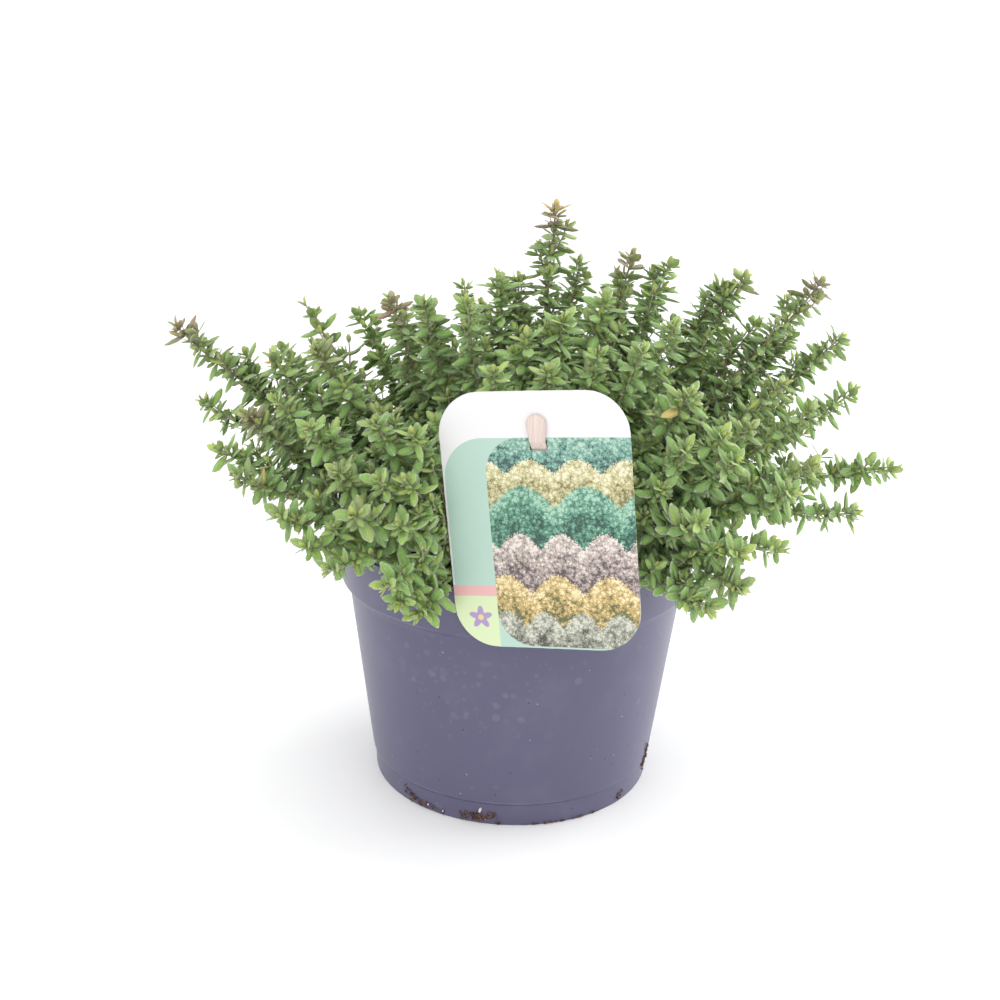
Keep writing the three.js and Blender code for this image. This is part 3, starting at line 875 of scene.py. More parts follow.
class THYME_OT_foot_crumbs(bpy.types.Operator):
    """Makes the bits of compost that stick to the pot's foot"""

    bl_idname = "thyme.foot_crumbs"
    bl_label = "Make the crumbs on the foot"

    def execute(self, context):
        rng = np.random.default_rng(SEED + 2)
        clusters = np.array(FOOT_CLUSTERS, float)
        rows = np.repeat(clusters, clusters[:, 4].astype(int), axis=0)
        bearing = np.radians(rng.normal(rows[:, 0], rows[:, 1] / 2))
        size = rng.uniform(*FOOT_CRUMB_SIZES, len(rows))
        height = np.maximum(rng.normal(rows[:, 2], rows[:, 3]), 1.3 * size + 0.1)
        places = on_foot(bearing, height, 0.3 * size + 0.7 * rng.random(len(rows)) * size)
        dried = dried_crumb_material()
        make_piece("foot_crumbs", grain_shape(places, size, rng), [dried])
        bearing, height, size = np.array(FOOT_GRAINS, float).T
        grains = on_foot(np.radians(bearing), height, 0.5 * size)
        white = bpy.data.materials["perlite_grain"]
        shape = grain_shape(grains, size, rng)
        make_piece("foot_perlite", shape, [white])
        return {"FINISHED"}


# Label card and stake


class CardSettings(bpy.types.PropertyGroup):
    """The card's print"""

    panel_top: FloatProperty(
        name="Panel top",
        description="Height of the picture panel's top edge as a share of the card",
        default=0.826,
        subtype="FACTOR",
        min=0,
        max=1,
    )
    mint: FloatVectorProperty(
        name="Mint",
        description="Colour of the plain strip",
        subtype="COLOR",
        default=(0.40, 0.57, 0.49),
        min=0,
        max=1,
    )


def card_axes():
    """Origin and the axes right, up and towards the front of the card's own plane.

    The plane touches the rim CARD_BEARING to the left of the front. The card's up tips
    back by CARD_LEAN, and the card is turned in its plane by CARD_TURN.
    """
    bearing = Matrix.Rotation(-CARD_BEARING, 3, "Z")
    lean = Matrix.Rotation(math.pi / 2 - CARD_LEAN, 3, "X")
    turn = Matrix.Rotation(CARD_TURN, 3, "Z")
    origin = bearing @ Vector((0, -CARD_REACH, POT_HEIGHT))
    return np.array(origin), np.array(bearing @ lean @ turn)


def from_card(local):
    """Points of the card's plane (x right, y up, z to the front) in the frame's axes."""
    origin, axes = card_axes()
    return origin + local @ axes.T


def to_card(points):
    """Points in the frame's axes as x right, y up and z in front of the card's plane."""
    origin, axes = card_axes()
    return (points - origin) @ axes


def rounded_outline(count, half_width, half_height, corner):
    """count points round a rounded rectangle, each the last step inside it along a ray from
    its middle.
    """
    angle = 2 * np.pi * (np.arange(count) + 0.5) / count
    ray = np.stack([np.cos(angle), np.sin(angle)], axis=-1)
    reach = np.linspace(0, math.hypot(half_width, half_height), OUTLINE_STEPS)
    points = reach[None, :, None] * ray[:, None, :]
    core = np.array([half_width - corner, half_height - corner])
    beyond = np.maximum(np.abs(points) - core, 0)
    inside = np.hypot(beyond[..., 0], beyond[..., 1]) <= corner
    last = inside.sum(axis=1) - 1
    return ray * reach[last][:, None]


def card_shape():
    """The card: rings of points pass from the slot's edge to the card's edge, over its rim
    to the back and in again. It is bowed a little: z is CARD_BOW times the square of the
    distance from its upright middle line. The look attribute is 1 on its front.
    """
    count = CARD_POINTS
    outer = rounded_outline(count, CARD_WIDTH / 2, CARD_HEIGHT / 2, CARD_CORNER)
    outer = outer + CARD_CENTRE
    slot_middle = np.array([SLOT_ACROSS, SLOT_LEVEL])
    toward = unit(outer - slot_middle)
    scale = np.minimum(
        SLOT_WIDTH / 2 / np.maximum(np.abs(toward[:, 0]), 1e-6),
        SLOT_HEIGHT / 2 / np.maximum(np.abs(toward[:, 1]), 1e-6),
    )
    inner = slot_middle + toward * scale[:, None]
    shares = np.linspace(0, 1, CARD_RINGS)
    front = inner[None] + (outer - inner)[None] * shares[:, None, None]
    half = CARD_THICKNESS / 2
    flat = np.concatenate([front, front[::-1]])
    level = np.concatenate([np.full(len(front), half), np.full(len(front), -half)])
    across = flat[..., 0] - CARD_CENTRE[0]
    depth = level[:, None] + CARD_BOW * across * across
    local = np.concatenate([flat, depth[..., None]], axis=-1)
    rows = len(flat)
    closing = np.concatenate([local, local[:1]])
    quads = grid_quads(rows + 1, count, closed=True)
    corner_uv = (closing[..., :2] - CARD_CENTRE) / [CARD_WIDTH, CARD_HEIGHT] + 0.5
    return {
        "vertices": from_card(local.reshape(-1, 3)),
        "quads": quads % (rows * count),
        "quad_uv": corner_uv.reshape(-1, 2)[quads],
        "look": np.repeat((level > 0).astype(float), count)[:, None] * np.ones(4),
    }


# The print's plain fields, in millimetres from the card's lower left corner
PRINT_BORDER = 0.8
PICTURE_LEFT = 18.5
BAR_BOTTOM = 22.5
BAR_TOP = 27.0
# How far the fields that run off the card pass its edge
BEYOND = 20.0
FIELD_CORNER = 17.0
PICTURE_CORNER = 15.0
SHARP_CORNER = 0.1
CARD_WHITE = (0.745, 0.735, 0.745, 1)
BAR_PINK = (0.72, 0.40, 0.40, 1)
TILE_GREEN = (0.60, 0.70, 0.42, 1)
# The flower on the tile: its middle, how far its petals reach and swing, and its eye's radius
FLOWER_MIDDLE = (10.8, 13.0)
PETAL_REACH = 3.8
PETAL_SWING = 1.3
FLOWER_EYE = 1.1
PETAL_MAUVE = (0.36, 0.26, 0.48, 1)
EYE_GOLD = (0.70, 0.56, 0.20, 1)
# The rows of leafy domes from the front one back: height, rise, width and shift of the domes,
# and the dark, middle and bright colour of their leaves
DOME_ROWS = [
    (9.0, 7.0, 16.0, 0.3, ((0.06, 0.06, 0.05), (0.28, 0.29, 0.23), (0.58, 0.58, 0.49))),
    (24.0, 8.0, 22.0, 1.4, ((0.10, 0.11, 0.04), (0.50, 0.36, 0.13), (0.80, 0.68, 0.42))),
    (43.0, 7.0, 18.0, 2.6, ((0.09, 0.065, 0.07), (0.40, 0.33, 0.30), (0.72, 0.66, 0.60))),
    (61.0, 9.0, 27.0, 0.9, ((0.015, 0.06, 0.045), (0.10, 0.28, 0.19), (0.36, 0.56, 0.42))),
    (75.0, 6.0, 20.0, 2.1, ((0.16, 0.14, 0.05), (0.50, 0.46, 0.24), (0.76, 0.72, 0.52))),
]
BACKDROP_TOP = 92.0
BACKDROP = ((0.03, 0.07, 0.075), (0.15, 0.33, 0.26), (0.42, 0.58, 0.48))


def printed_picture(shader, place, x, y, leaflets):
    """Rows of leafy domes, one before the other, before a plain backdrop.

    A dome's edge is its height plus its rise times the absolute sine of pi x over its width,
    and is ragged by the leaflets. Its leaves are dark gaps, masses and bright small tips, the
    darker the deeper they lie below the edge.
    """
    clumps = shader.cells(place, 620.0)["Distance"]
    tone = shader.minus(leaflets, shader.times(clumps, 0.55))
    tone = shader.add(tone, shader.times(shader.noise(place, 260.0), 0.7))
    tone = shader.minus(tone, 0.36)

    def leafy(colours, depth):
        """Foliage in three colours, by tone and by the depth below the edge."""
        dark, middle, bright = colours
        lit = shader.add(tone, shader.step(depth, 1.0, 16.0, 0.12, -0.16))
        mixed = shader.mix(shader.step(lit, -0.12, 0.22), rgba(dark), rgba(middle))
        return shader.mix(shader.step(lit, 0.2, 0.5), mixed, rgba(bright))

    picture = leafy(BACKDROP, shader.minus(BACKDROP_TOP, y))
    for height, rise, width, shift, colours in reversed(DOME_ROWS):
        phase = shader.add(shader.times(x, math.pi / width), shift)
        dome = shader.math("ABSOLUTE", shader.math("SINE", phase))
        edge = shader.add(shader.times(dome, rise), height)
        depth = shader.minus(edge, y)
        ragged = shader.add(depth, shader.times(leaflets, 5.0))
        foliage = leafy(colours, depth)
        picture = shader.mix(shader.step(ragged, 2.2, 2.9), picture, foliage)
    return picture


def card_material(settings):
    """Glossy printed card with a made-up print.

    A picture of leafy domes stands beside a plain mint strip on the left with a bar and a
    tile below it. The tile's flower has five petals: its edge is PETAL_REACH plus
    PETAL_SWING times the sine of five times the angle.
    """
    material, shader, principled = new_material("printed_label")
    u, v, _ = shader.split(shader.node("UVMap", uv_map="UVMap").outputs["UV"])
    front = shader.node("Attribute", attribute_name="look").outputs["Fac"]
    place = shader.place()
    x = shader.times(u, CARD_WIDTH)
    y = shader.times(v, CARD_HEIGHT)

    def past(coordinate, low, high, corner):
        """How far a coordinate lies beyond the core of the span from low to high."""
        off = shader.away(coordinate, (low + high) / 2)
        return shader.larger(shader.minus(off, (high - low) / 2 - corner), 0.0)

    def box(left, right, bottom, top, corner):
        """A rounded rectangle's mask: the distance beyond its core against the corner."""
        beyond = shader.squares(past(x, left, right, corner), past(y, bottom, top, corner))
        beyond = shader.math("SQRT", beyond)
        return shader.step(beyond, corner - 0.12, corner + 0.12, 1.0, 0.0)

    leaflets = shader.noise(place, 1700.0, 2.0)
    picture = printed_picture(shader, place, x, y, leaflets)
    top = settings.panel_top * CARD_HEIGHT
    right = CARD_WIDTH - PRINT_BORDER
    mint = shader.mix(shader.step(leaflets, 0.35, 0.75, 0.0, 0.06), rgba(settings.mint), CARD_WHITE)
    art = shader.mix(box(PRINT_BORDER, right, -BEYOND, top, FIELD_CORNER), CARD_WHITE, mint)
    bar = box(-BEYOND, PICTURE_LEFT, BAR_BOTTOM, BAR_TOP, SHARP_CORNER)
    art = shader.mix(bar, art, BAR_PINK)
    tile = box(-BEYOND, PICTURE_LEFT, -BEYOND, BAR_BOTTOM, SHARP_CORNER)
    art = shader.mix(tile, art, TILE_GREEN)
    off_x = shader.minus(x, FLOWER_MIDDLE[0])
    off_y = shader.minus(y, FLOWER_MIDDLE[1])
    petals = shader.math("SINE", shader.times(shader.math("ARCTAN2", off_y, off_x), 5.0))
    outline = shader.add(shader.times(petals, PETAL_SWING), PETAL_REACH)
    out = shader.math("SQRT", shader.squares(off_x, off_y))
    flower = shader.step(shader.minus(out, outline), -0.15, 0.15, 1.0, 0.0)
    art = shader.mix(flower, art, PETAL_MAUVE)
    eye = shader.step(out, FLOWER_EYE, FLOWER_EYE + 0.25, 1.0, 0.0)
    art = shader.mix(eye, art, EYE_GOLD)
    panel = box(PICTURE_LEFT, CARD_WIDTH + BEYOND, PRINT_BORDER, top, PICTURE_CORNER)
    art = shader.mix(panel, art, picture)
    finish_surface(shader, principled, {
        "Base Color": shader.mix(front, CARD_WHITE, art),
        "Roughness": 0.38,
        "Coat Weight": 0.2,
        "Coat Roughness": 0.3,
        "Normal": shader.bump(shader.noise(place, 25.0, 1.0), 0.0006),
    })
    return material


def stake_half_width(height):
    """Half the stake's width: a smooth step from the waist at the slot to the full width on
    top, cut to a blunt point in a straight line below and rounded by a circle on top.
    """
    above = blend_step(SLOT_LEVEL, STAKE_TOP, height)
    half = (STAKE_WAIST + (STAKE_WIDTH - STAKE_WAIST) * above) / 2
    point = np.clip((height - STAKE_BOTTOM) / STAKE_POINT, 0.25, 1)
    radius = STAKE_WIDTH / 2
    into_top = np.maximum(0, height - (STAKE_TOP - radius)) / radius
    return half * point * np.sqrt(np.maximum(0.04, 1 - into_top**2))


def stake_offset(height):
    """Distance of the stake in front of the card's plane: it splays back below the slot."""
    bend = STAKE_OFFSET / STAKE_BEND
    below = np.maximum(SLOT_LEVEL - bend - height, 0)
    through = np.clip((height - SLOT_LEVEL) * STAKE_BEND, -STAKE_OFFSET, STAKE_OFFSET)
    return through - below * math.tan(STAKE_SPLAY)


def stake_shape():
    """The stake: a flat section with rounded edges carried up its offset line.

    The heights of its rows are close where it bends through the slot and where it ends.
    """
    top = STAKE_TOP - (STAKE_WIDTH / 2) * (1 - np.sin(np.linspace(0, np.pi / 2, 9)))
    height = np.concatenate(
        [np.linspace(STAKE_BOTTOM, 0, 14), np.linspace(6, 56, 12),
         np.linspace(58.5, 64, 10), np.linspace(65, top[0] - 0.8, 5), top]
    )
    section = np.array(
        [[-1, 0], [-0.94, -0.7], [-0.8, -1], [0.8, -1], [0.94, -0.7], [1, 0], [0.94, 0.7],
         [0.8, 1], [-0.8, 1], [-0.94, 0.7]]
    )
    half = stake_half_width(height)
    local = np.empty((len(height), len(section), 3))
    local[..., 0] = SLOT_ACROSS + half[:, None] * section[None, :, 0]
    local[..., 1] = height[:, None]
    local[..., 2] = stake_offset(height)[:, None] + STAKE_THICKNESS / 2 * section[None, :, 1]
    middles = np.stack([local[0].mean(axis=0), local[-1].mean(axis=0)])
    return {
        "vertices": from_card(np.concatenate([local.reshape(-1, 3), middles])),
        "quads": grid_quads(len(height), len(section), closed=True),
        "triangles": end_fans(len(height), len(section)),
    }


WOOD_DARK = (0.60, 0.48, 0.43, 1)
WOOD_PALE = (0.72, 0.61, 0.56, 1)
WOOD_FIBRE = (0.50, 0.38, 0.33, 1)


def wood_material():
    """Pale bare wood: long fine grain along the stake with a few darker fibres."""
    material, shader, principled = new_material("bare_stake_wood")
    stretched = shader.node("Mapping", {"Vector": shader.place(), "Scale": (1, 1, 0.04)})
    stretched = stretched.outputs[0]
    grain = shader.noise(stretched, 1500.0, 4.0)
    colour = shader.mix(shader.step(grain, 0.3, 0.75), WOOD_DARK, WOOD_PALE)
    fibre = shader.step(shader.noise(stretched, 500.0, 2.0), 0.62, 0.75, 0.0, 0.4)
    finish_surface(shader, principled, {
        "Base Color": shader.mix(fibre, colour, WOOD_FIBRE),
        "Roughness": 0.75,
        "Normal": shader.bump(grain, 0.0002),
    })
    return material


class THYME_OT_label(bpy.types.Operator):
    """Makes the printed card and the wooden stake that holds it"""

    bl_idname = "thyme.label"
    bl_label = "Make the label"

    def execute(self, context):
        printed = card_material(context.scene.thyme_card)
        make_piece(
            "printed_card", card_shape(), [printed], ["label_card"],
            math.radians(50),
        )
        make_piece(
            "wooden_stake", stake_shape(), [wood_material()], ["label_stake"],
            math.radians(60),
        )
        return {"FINISHED"}


# Shoots


class FoliageSettings(bpy.types.PropertyGroup):
    """Sizes and colours of the leaves"""

    leaf_length: FloatProperty(
        name="Leaf length", description="Length of a full-grown leaf, in millimetres",
        default=9.7, min=6, max=16,
    )
    leaf_width: FloatProperty(
        name="Leaf width", description="Width of a full-grown leaf, in millimetres",
        default=4.9, min=2, max=9,
    )
    tufts: FloatProperty(
        name="Tufts", description="Share of the grown leaves with a tuft of young ones beside",
        subtype="FACTOR", default=1.0, min=0, max=1,
    )
    pair_spacing: FloatProperty(
        name="Pair spacing", description="Stem between full-grown leaf pairs, in millimetres",
        default=4.6, min=2, max=12,
    )
    leaf_green: FloatVectorProperty(
        name="Leaf green", description="Colour of a full-grown leaf's middle", subtype="COLOR",
        default=(0.218, 0.412, 0.086), min=0, max=1,
    )
    young_green: FloatVectorProperty(
        name="Young green", description="Colour of the leaves at the tips", subtype="COLOR",
        default=(0.48, 0.61, 0.110), min=0, max=1,
    )
    margin_cream: FloatVectorProperty(
        name="Margin cream", description="Colour of the leaves' pale margins", subtype="COLOR",
        default=(0.58, 0.655, 0.475), min=0, max=1,
    )


def crown_points(tips):
    """Where each shoot leaves the compost: below its tip, nearer the middle the more upright
    it is, then pushed apart in turn until no two stems stand closer than STEM_SPACING.
    """
    points = []
    for x, y, z in tips:
        lean = math.atan2(math.hypot(x, y), z - CROWN[2])
        radius = CROWN_RADIUS * (lean / CROWN_FULL_LEAN) ** CROWN_POWER
        points.append(complex(x, y) / abs(complex(x, y)) * radius)
    for _ in range(SPACING_ROUNDS):
        for i in range(1, len(points)):
            for j in range(i):
                apart = points[i] - points[j]
                push = (STEM_SPACING - abs(apart)) / 2
                if push > 0:
                    apart *= push / abs(apart)
                    points[i] += apart
                    points[j] -= apart
        points = [p if abs(p) <= CROWN_LIMIT else p / abs(p) * CROWN_LIMIT for p in points]
    return points


def stem_bends(crown_point, tip):
    """The four points of a stem's cubic curve.

    It starts in the compost, rises at a share of the tip's lean, and comes to its tip at
    another share. The ones that lean furthest start steeper, to clear the rim, and hang.
    """
    end = np.array(tip, float)
    start = np.array([crown_point.real, crown_point.imag, COMPOST_TOP_Z - STEM_DEPTH])
    lean = math.atan2(math.hypot(end[0], end[1]), end[2] - CROWN[2])
    outward = unit((end - start) * [1, 1, 0])
    hang = min(max((lean - HANG_FROM) / HANG_OVER, 0), 1)
    length = np.linalg.norm(end - start)
    first = START_LEAN * lean * (1 + HANG_START * hang)
    last = (END_LEAN + HANG_END * hang) * lean
    rise = start + (outward * math.sin(first) + UP * math.cos(first)) * (
        START_REACH * length + RIM_LIFT * hang
    )
    before = end - (outward * math.sin(last) + UP * math.cos(last)) * END_REACH * length
    return np.array([start, rise, before, end])


def way_along(bends):
    """A stem's line from the control points of its curve, which lie in one plane.

    The curve is summed from its Bernstein weights at even steps. The way keeps the places,
    their distances along the line, and the directions along and out of the plane.
    """
    t = np.linspace(0, 1, STEM_STEPS)
    degree = len(bends) - 1
    weights = np.stack(
        [math.comb(degree, k) * t**k * (1 - t) ** (degree - k) for k in range(degree + 1)],
        axis=-1,
    )
    places = weights @ bends
    steps = np.linalg.norm(np.diff(places, axis=0), axis=1)
    distances = np.concatenate([[0], np.cumsum(steps)])
    along = unit(np.gradient(places, distances, axis=0))
    plane = np.cross(bends[-1] - bends[0], bends[1] - bends[0])
    if np.linalg.norm(plane) < 1e-6:
        plane = np.cross(bends[-1] - bends[0], UP + [0.1, 0, 0])
    return {
        "places": places,
        "distances": distances,
        "along": along,
        "side": unit(plane),
        "length": distances[-1],
    }


def station(way, distance):
    """Place and the directions along, across and out of the plane at distances on a way."""
    place = np.stack([np.interp(distance, way["distances"], c) for c in way["places"].T], -1)
    along = np.stack([np.interp(distance, way["distances"], c) for c in way["along"].T], -1)
    along = unit(along)
    side = np.broadcast_to(way["side"], along.shape)
    return place, along, np.cross(side, along), side


# Leaf pairs, counted in levels from the bud down. The gap between pairs starts as a share of
# the full spacing, and the length as a share of a full leaf. Spreads are in degrees.
MOST_LEVELS = 90
BUD_GAP = 0.14
LEVELS_TO_OPEN = 1.25
LEVELS_TO_LENGTHEN = 0.8
BUD_LENGTH = 0.52
ADDED_LENGTH = 0.52
LENGTH_LOST = 0.12
LENGTH_RANGE = (0.86, 1.12)
SLIM_RANGE = (0.88, 1.1)
BUD_SLIM = 1.06
SLIM_LOST = 0.08
BUD_SPREAD = 16
ADDED_SPREAD = 61
BUD_DROOP = 0.03
ADDED_DROOP = 0.43
BUD_ROLL = 0.40
ROLL_LOST = 0.95
SKYWARD = 0.5
# How far they stray from these at random: the turn of a pair and of a leaf, and a leaf's
# place, spread, droop, roll and twist
PAIR_SWAY = 0.16
LEAF_SWAY = 0.08
PLACE_STRAY = 0.15
SPREAD_STRAY = 7
DROOP_STRAY = 0.07
ROLL_STRAY = 0.1
TWIST_STRAY = 0.32


def leaf_pairs(way, size, bare, spacing, crowding, rng):
    """The leaves of one stem, as arrays with a row for each leaf.

    Pairs stand close at the tip and further apart below: the gap grows from BUD_GAP of the
    spacing towards all of it as 1 - e to the power of -(level / crowding)^2. A pair's age
    runs from 0 in the bud to 1 when open, as 1 - e to the power of -level / LEVELS_TO_OPEN.
    Its spread from the stem and its droop grow with age, and its edges roll down. Each pair
    is turned a quarter from the one above it, and on a leaning stem every leaf is drawn
    towards the sky by SKYWARD of the way up that is square to the stem.
    """
    levels = np.arange(MOST_LEVELS)
    opened = 1 - np.exp(-levels / LEVELS_TO_OPEN)
    parted = 1 - np.exp(-((levels / crowding) ** 2))
    gaps = spacing * (BUD_GAP + (1 - BUD_GAP) * parted)
    down = np.cumsum(gaps) - gaps[0]
    levels = levels[down < way["length"] * (1 - bare)]
    level = np.repeat(levels, 2)
    count = len(level)
    half = np.tile([0, np.pi], len(levels))
    sway = np.repeat(rng.normal(0, PAIR_SWAY, len(levels)), 2)
    turn = level * np.pi / 2 + half + sway + rng.normal(0, LEAF_SWAY, count) + rng.uniform(0, 0.6)
    distance = way["length"] - down[level] + rng.normal(0, PLACE_STRAY, count)
    place, along, across, side = station(way, distance)
    outward = across * np.cos(turn)[:, None] + side * np.sin(turn)[:, None]
    skyward = UP - along * (along @ UP)[:, None]
    outward = unit(outward + SKYWARD * skyward)
    age = opened[level]
    spread = BUD_SPREAD + ADDED_SPREAD * age + rng.normal(0, SPREAD_STRAY, count)
    lost = LENGTH_LOST * np.clip(down[level] / way["length"], 0, 1)
    reach = BUD_LENGTH + ADDED_LENGTH * (1 - np.exp(-level / LEVELS_TO_LENGTHEN))
    length = size * reach * rng.uniform(*LENGTH_RANGE, count) * (1 - lost)
    return {
        "base": place,
        "stem": along,
        "outward": outward,
        "spread": np.radians(spread),
        "length": length,
        "slim": rng.uniform(*SLIM_RANGE, count) * (BUD_SLIM - SLIM_LOST * age),
        "droop": BUD_DROOP + ADDED_DROOP * age**2 + rng.normal(0, DROOP_STRAY, count),
        "roll": BUD_ROLL - ROLL_LOST * age + rng.normal(0, ROLL_STRAY, count),
        "twist": rng.normal(0, TWIST_STRAY, count),
        "age": age,
        "down": down[level],
        "tuft": np.zeros(count),
    }


# Tufts in the axils: the age past which a leaf may have one, and the lean of the tuft's axis
# from the stem, in degrees. Its inner leaves are younger, smaller and less spread.
TUFT_FROM_AGE = 0.5
TUFT_LEAN = (28, 52)
TUFT_SIZE = (0.75, 1.15)
TUFT_FOOT = 0.6
TUFT_STEM = 1.3
TUFT_SPREAD = 56
TUFT_SPREAD_STRAY = 8
INNER_SPREAD_LOST = 34
TUFT_LENGTH = 0.68
INNER_LENGTH_LOST = 0.2
TUFT_SLIM = (0.9, 1.12)
TUFT_DROOP = (0.0, 0.16)
TUFT_ROLL = (-0.2, 0.3)
TUFT_TWIST_STRAY = 0.2
TUFT_AGE = (0.55, 0.8)
INNER_AGE_LOST = 0.35


def axil_tufts(leaves, share, rng):
    """A tuft in the axils of a share of the grown leaves: a small shoot of two crossed
    pairs of young leaves, whose axis stands between the stem and the grown leaf.
    """
    grown = leaves["age"] > TUFT_FROM_AGE
    chosen = np.flatnonzero(grown & (rng.random(len(grown)) < share))
    rows = np.repeat(chosen, 4)
    count = len(rows)
    lean = np.repeat(np.radians(rng.uniform(*TUFT_LEAN, len(chosen))), 4)[:, None]
    stem, outward = leaves["stem"][rows], leaves["outward"][rows]
    axis = stem * np.cos(lean) + outward * np.sin(lean)
    sideways = np.cross(stem, outward)
    crossed = np.cross(axis, sideways)
    inner = np.tile([0, 0, 1, 1], len(chosen))
    sign = np.tile([1.0, -1.0, 1.0, -1.0], len(chosen))[:, None]
    out = np.where(inner[:, None] == 1, crossed, sideways) * sign
    size = np.repeat(rng.uniform(*TUFT_SIZE, len(chosen)), 4)
    spread = rng.normal(TUFT_SPREAD, TUFT_SPREAD_STRAY, count) - INNER_SPREAD_LOST * inner
    return {
        "base": leaves["base"][rows] + axis * (TUFT_FOOT + TUFT_STEM * inner * size)[:, None],
        "stem": axis,
        "outward": out,
        "spread": np.radians(spread),
        "length": leaves["length"][rows] * size * (TUFT_LENGTH - INNER_LENGTH_LOST * inner),
        "slim": rng.uniform(*TUFT_SLIM, count),
        "droop": rng.uniform(*TUFT_DROOP, count),
        "roll": rng.uniform(*TUFT_ROLL, count),
        "twist": rng.normal(0, TUFT_TWIST_STRAY, count),
        "age": rng.uniform(*TUFT_AGE, count) - INNER_AGE_LOST * inner,
        "down": leaves["down"][rows],
        "tuft": np.ones(count),
    }


def joined_rows(parts):
    """Several sets of leaves as one."""
    return {key: np.concatenate([part[key] for part in parts]) for key in parts[0]}


# The angle at which a side shoot leaves its stem
SIDE_LEAVES_AT = math.radians(40)


def side_way(way, down, turn, length):
    """A side shoot's line: a quadratic curve that leaves its stem aslant and bends up."""
    place, along, across, side = (v[0] for v in station(way, np.array([way["length"] - down])))
    outward = across * math.cos(turn) + side * math.sin(turn)
    leaving = unit(along * math.cos(SIDE_LEAVES_AT) + outward * math.sin(SIDE_LEAVES_AT))
    later = unit(along * 0.6 + outward * 0.25 + UP * 0.7)
    knee = place + leaving * 0.5 * length
    return way_along(np.array([place, knee, knee + later * 0.5 * length]))


# How far the upper sides of leaves are drawn towards the sky
FACING_SKYWARD = 0.3


def leaf_axes(leaves):
    """The directions along, facing and aside of each leaf.

    Along is the stem's direction tipped outwards by the spread. Facing is square to it, on
    the side of the stem's tip, drawn towards the sky and turned about along by the twist.
    """
    spread = leaves["spread"][:, None]
    along = leaves["stem"] * np.cos(spread) + leaves["outward"] * np.sin(spread)
    facing = leaves["stem"] * np.sin(spread) - leaves["outward"] * np.cos(spread)
    facing = facing + FACING_SKYWARD * UP
    facing = unit(facing - along * np.sum(facing * along, axis=1, keepdims=True))
    aside = np.cross(along, facing)
    twist = leaves["twist"][:, None]
    turned = facing * np.cos(twist) + aside * np.sin(twist)
    return along, turned, np.cross(along, turned)


# A leaf's section as (across, level, under) for each point round it, and the shares of its
# length that have one, for large, plain and small leaves
FULL_SECTION = np.array(
    [(-1, 0, 0), (-0.5, 1, 0), (0, 0.1, 0), (0.5, 1, 0), (1, 0, 0), (0, 0, 1)]
)
PLAIN_SECTION = np.array([(-1, 0, 0), (0, 0.5, 0), (1, 0, 0), (0, 0, 1)])
LEAF_KINDS = [
    (FULL_SECTION, np.array([0.1, 0.37, 0.72, 0.94])),
    (PLAIN_SECTION, np.array([0.12, 0.41, 0.74, 0.94])),
    (PLAIN_SECTION, np.array([0.3, 0.8])),
]
# Leaves shorter than this are drawn plainly, and ones shorter than that are the smallest kind
PLAIN_BELOW = 6
SMALL_BELOW = 4
LEAF_THICKNESS = 0.34
BULGE = 0.14
ROLLED_BULGE = 0.1


def leaf_shape(leaves, width, section, stations):
    """Closed blades, one for each row of leaves.

    At a share v of the length the half width is 3.3 v^0.92 (1 - v)^0.8 times half the
    width. The blade arches back by droop times v squared, its edges are rolled up or down
    by roll times the half width, and its two halves bulge between midrib and edge. The
    under side passes a blade's thickness below the midrib. The UV map runs across from 0
    to 1 on the upper side and from 1 to 2 below, and along from base to tip.
    """
    along, facing, aside = leaf_axes(leaves)
    length = leaves["length"][:, None]
    profile = 3.3 * stations**0.92 * (1 - stations) ** 0.8
    half = width / 2 * leaves["slim"][:, None] * length * profile
    arch = -leaves["droop"][:, None] * length * stations**2
    across, crest, under = section.T
    roll = leaves["roll"][:, None, None]
    level = half[..., None] * (roll * across**2 + crest * (BULGE + ROLLED_BULGE * np.abs(roll)))
    level = level - LEAF_THICKNESS * under * (0.5 + 0.5 * profile[:, None])
    rings = (
        leaves["base"][:, None, None]
        + along[:, None, None] * (length * stations)[..., None, None]
        + facing[:, None, None] * (arch[..., None] + level)[..., None]
        + aside[:, None, None] * (half[..., None] * across)[..., None]
    )
    foot = leaves["base"][:, None]
    tip = leaves["base"] + along * length + facing * -leaves["droop"][:, None] * length
    count, rows, columns = rings.shape[:3]
    rings = rings.reshape(count, rows * columns, 3)
    vertices = np.concatenate([rings, foot, tip[:, None]], axis=1)
    per_leaf = rows * columns + 2
    start = np.arange(count)[:, None, None] * per_leaf
    quads = grid_quads(rows, columns, closed=True)
    triangles = end_fans(rows, columns)
    u = np.concatenate([np.tile((across + 1) / 2, rows), [0.5, 0.5]])
    v = np.concatenate([np.repeat(stations, columns), [0, 1]])
    uv = np.stack([u, v], axis=-1)
    lower_quad = (quads == columns - 1) | (quads % columns == columns - 1)
    lower_fan = triangles % columns == columns - 1
    shift = np.array([1.0, 0.0])
    quad_uv = uv[quads] + shift * lower_quad.any(axis=1)[:, None, None]
    lower = lower_fan[:, 1:].any(axis=1)
    triangle_uv = uv[triangles] + shift * lower[:, None, None]
    return {
        "vertices": vertices.reshape(-1, 3),
        "quads": (quads[None] + start).reshape(-1, 4),
        "triangles": (triangles[None] + start).reshape(-1, 3),
        "quad_uv": np.tile(quad_uv, (count, 1, 1)),
        "triangle_uv": np.tile(triangle_uv, (count, 1, 1)),
        "quad_material": np.zeros(count * len(quads)),
        "triangle_material": np.zeros(count * len(triangles)),
        "look": np.repeat(leaves["look"], per_leaf, axis=0),
    }


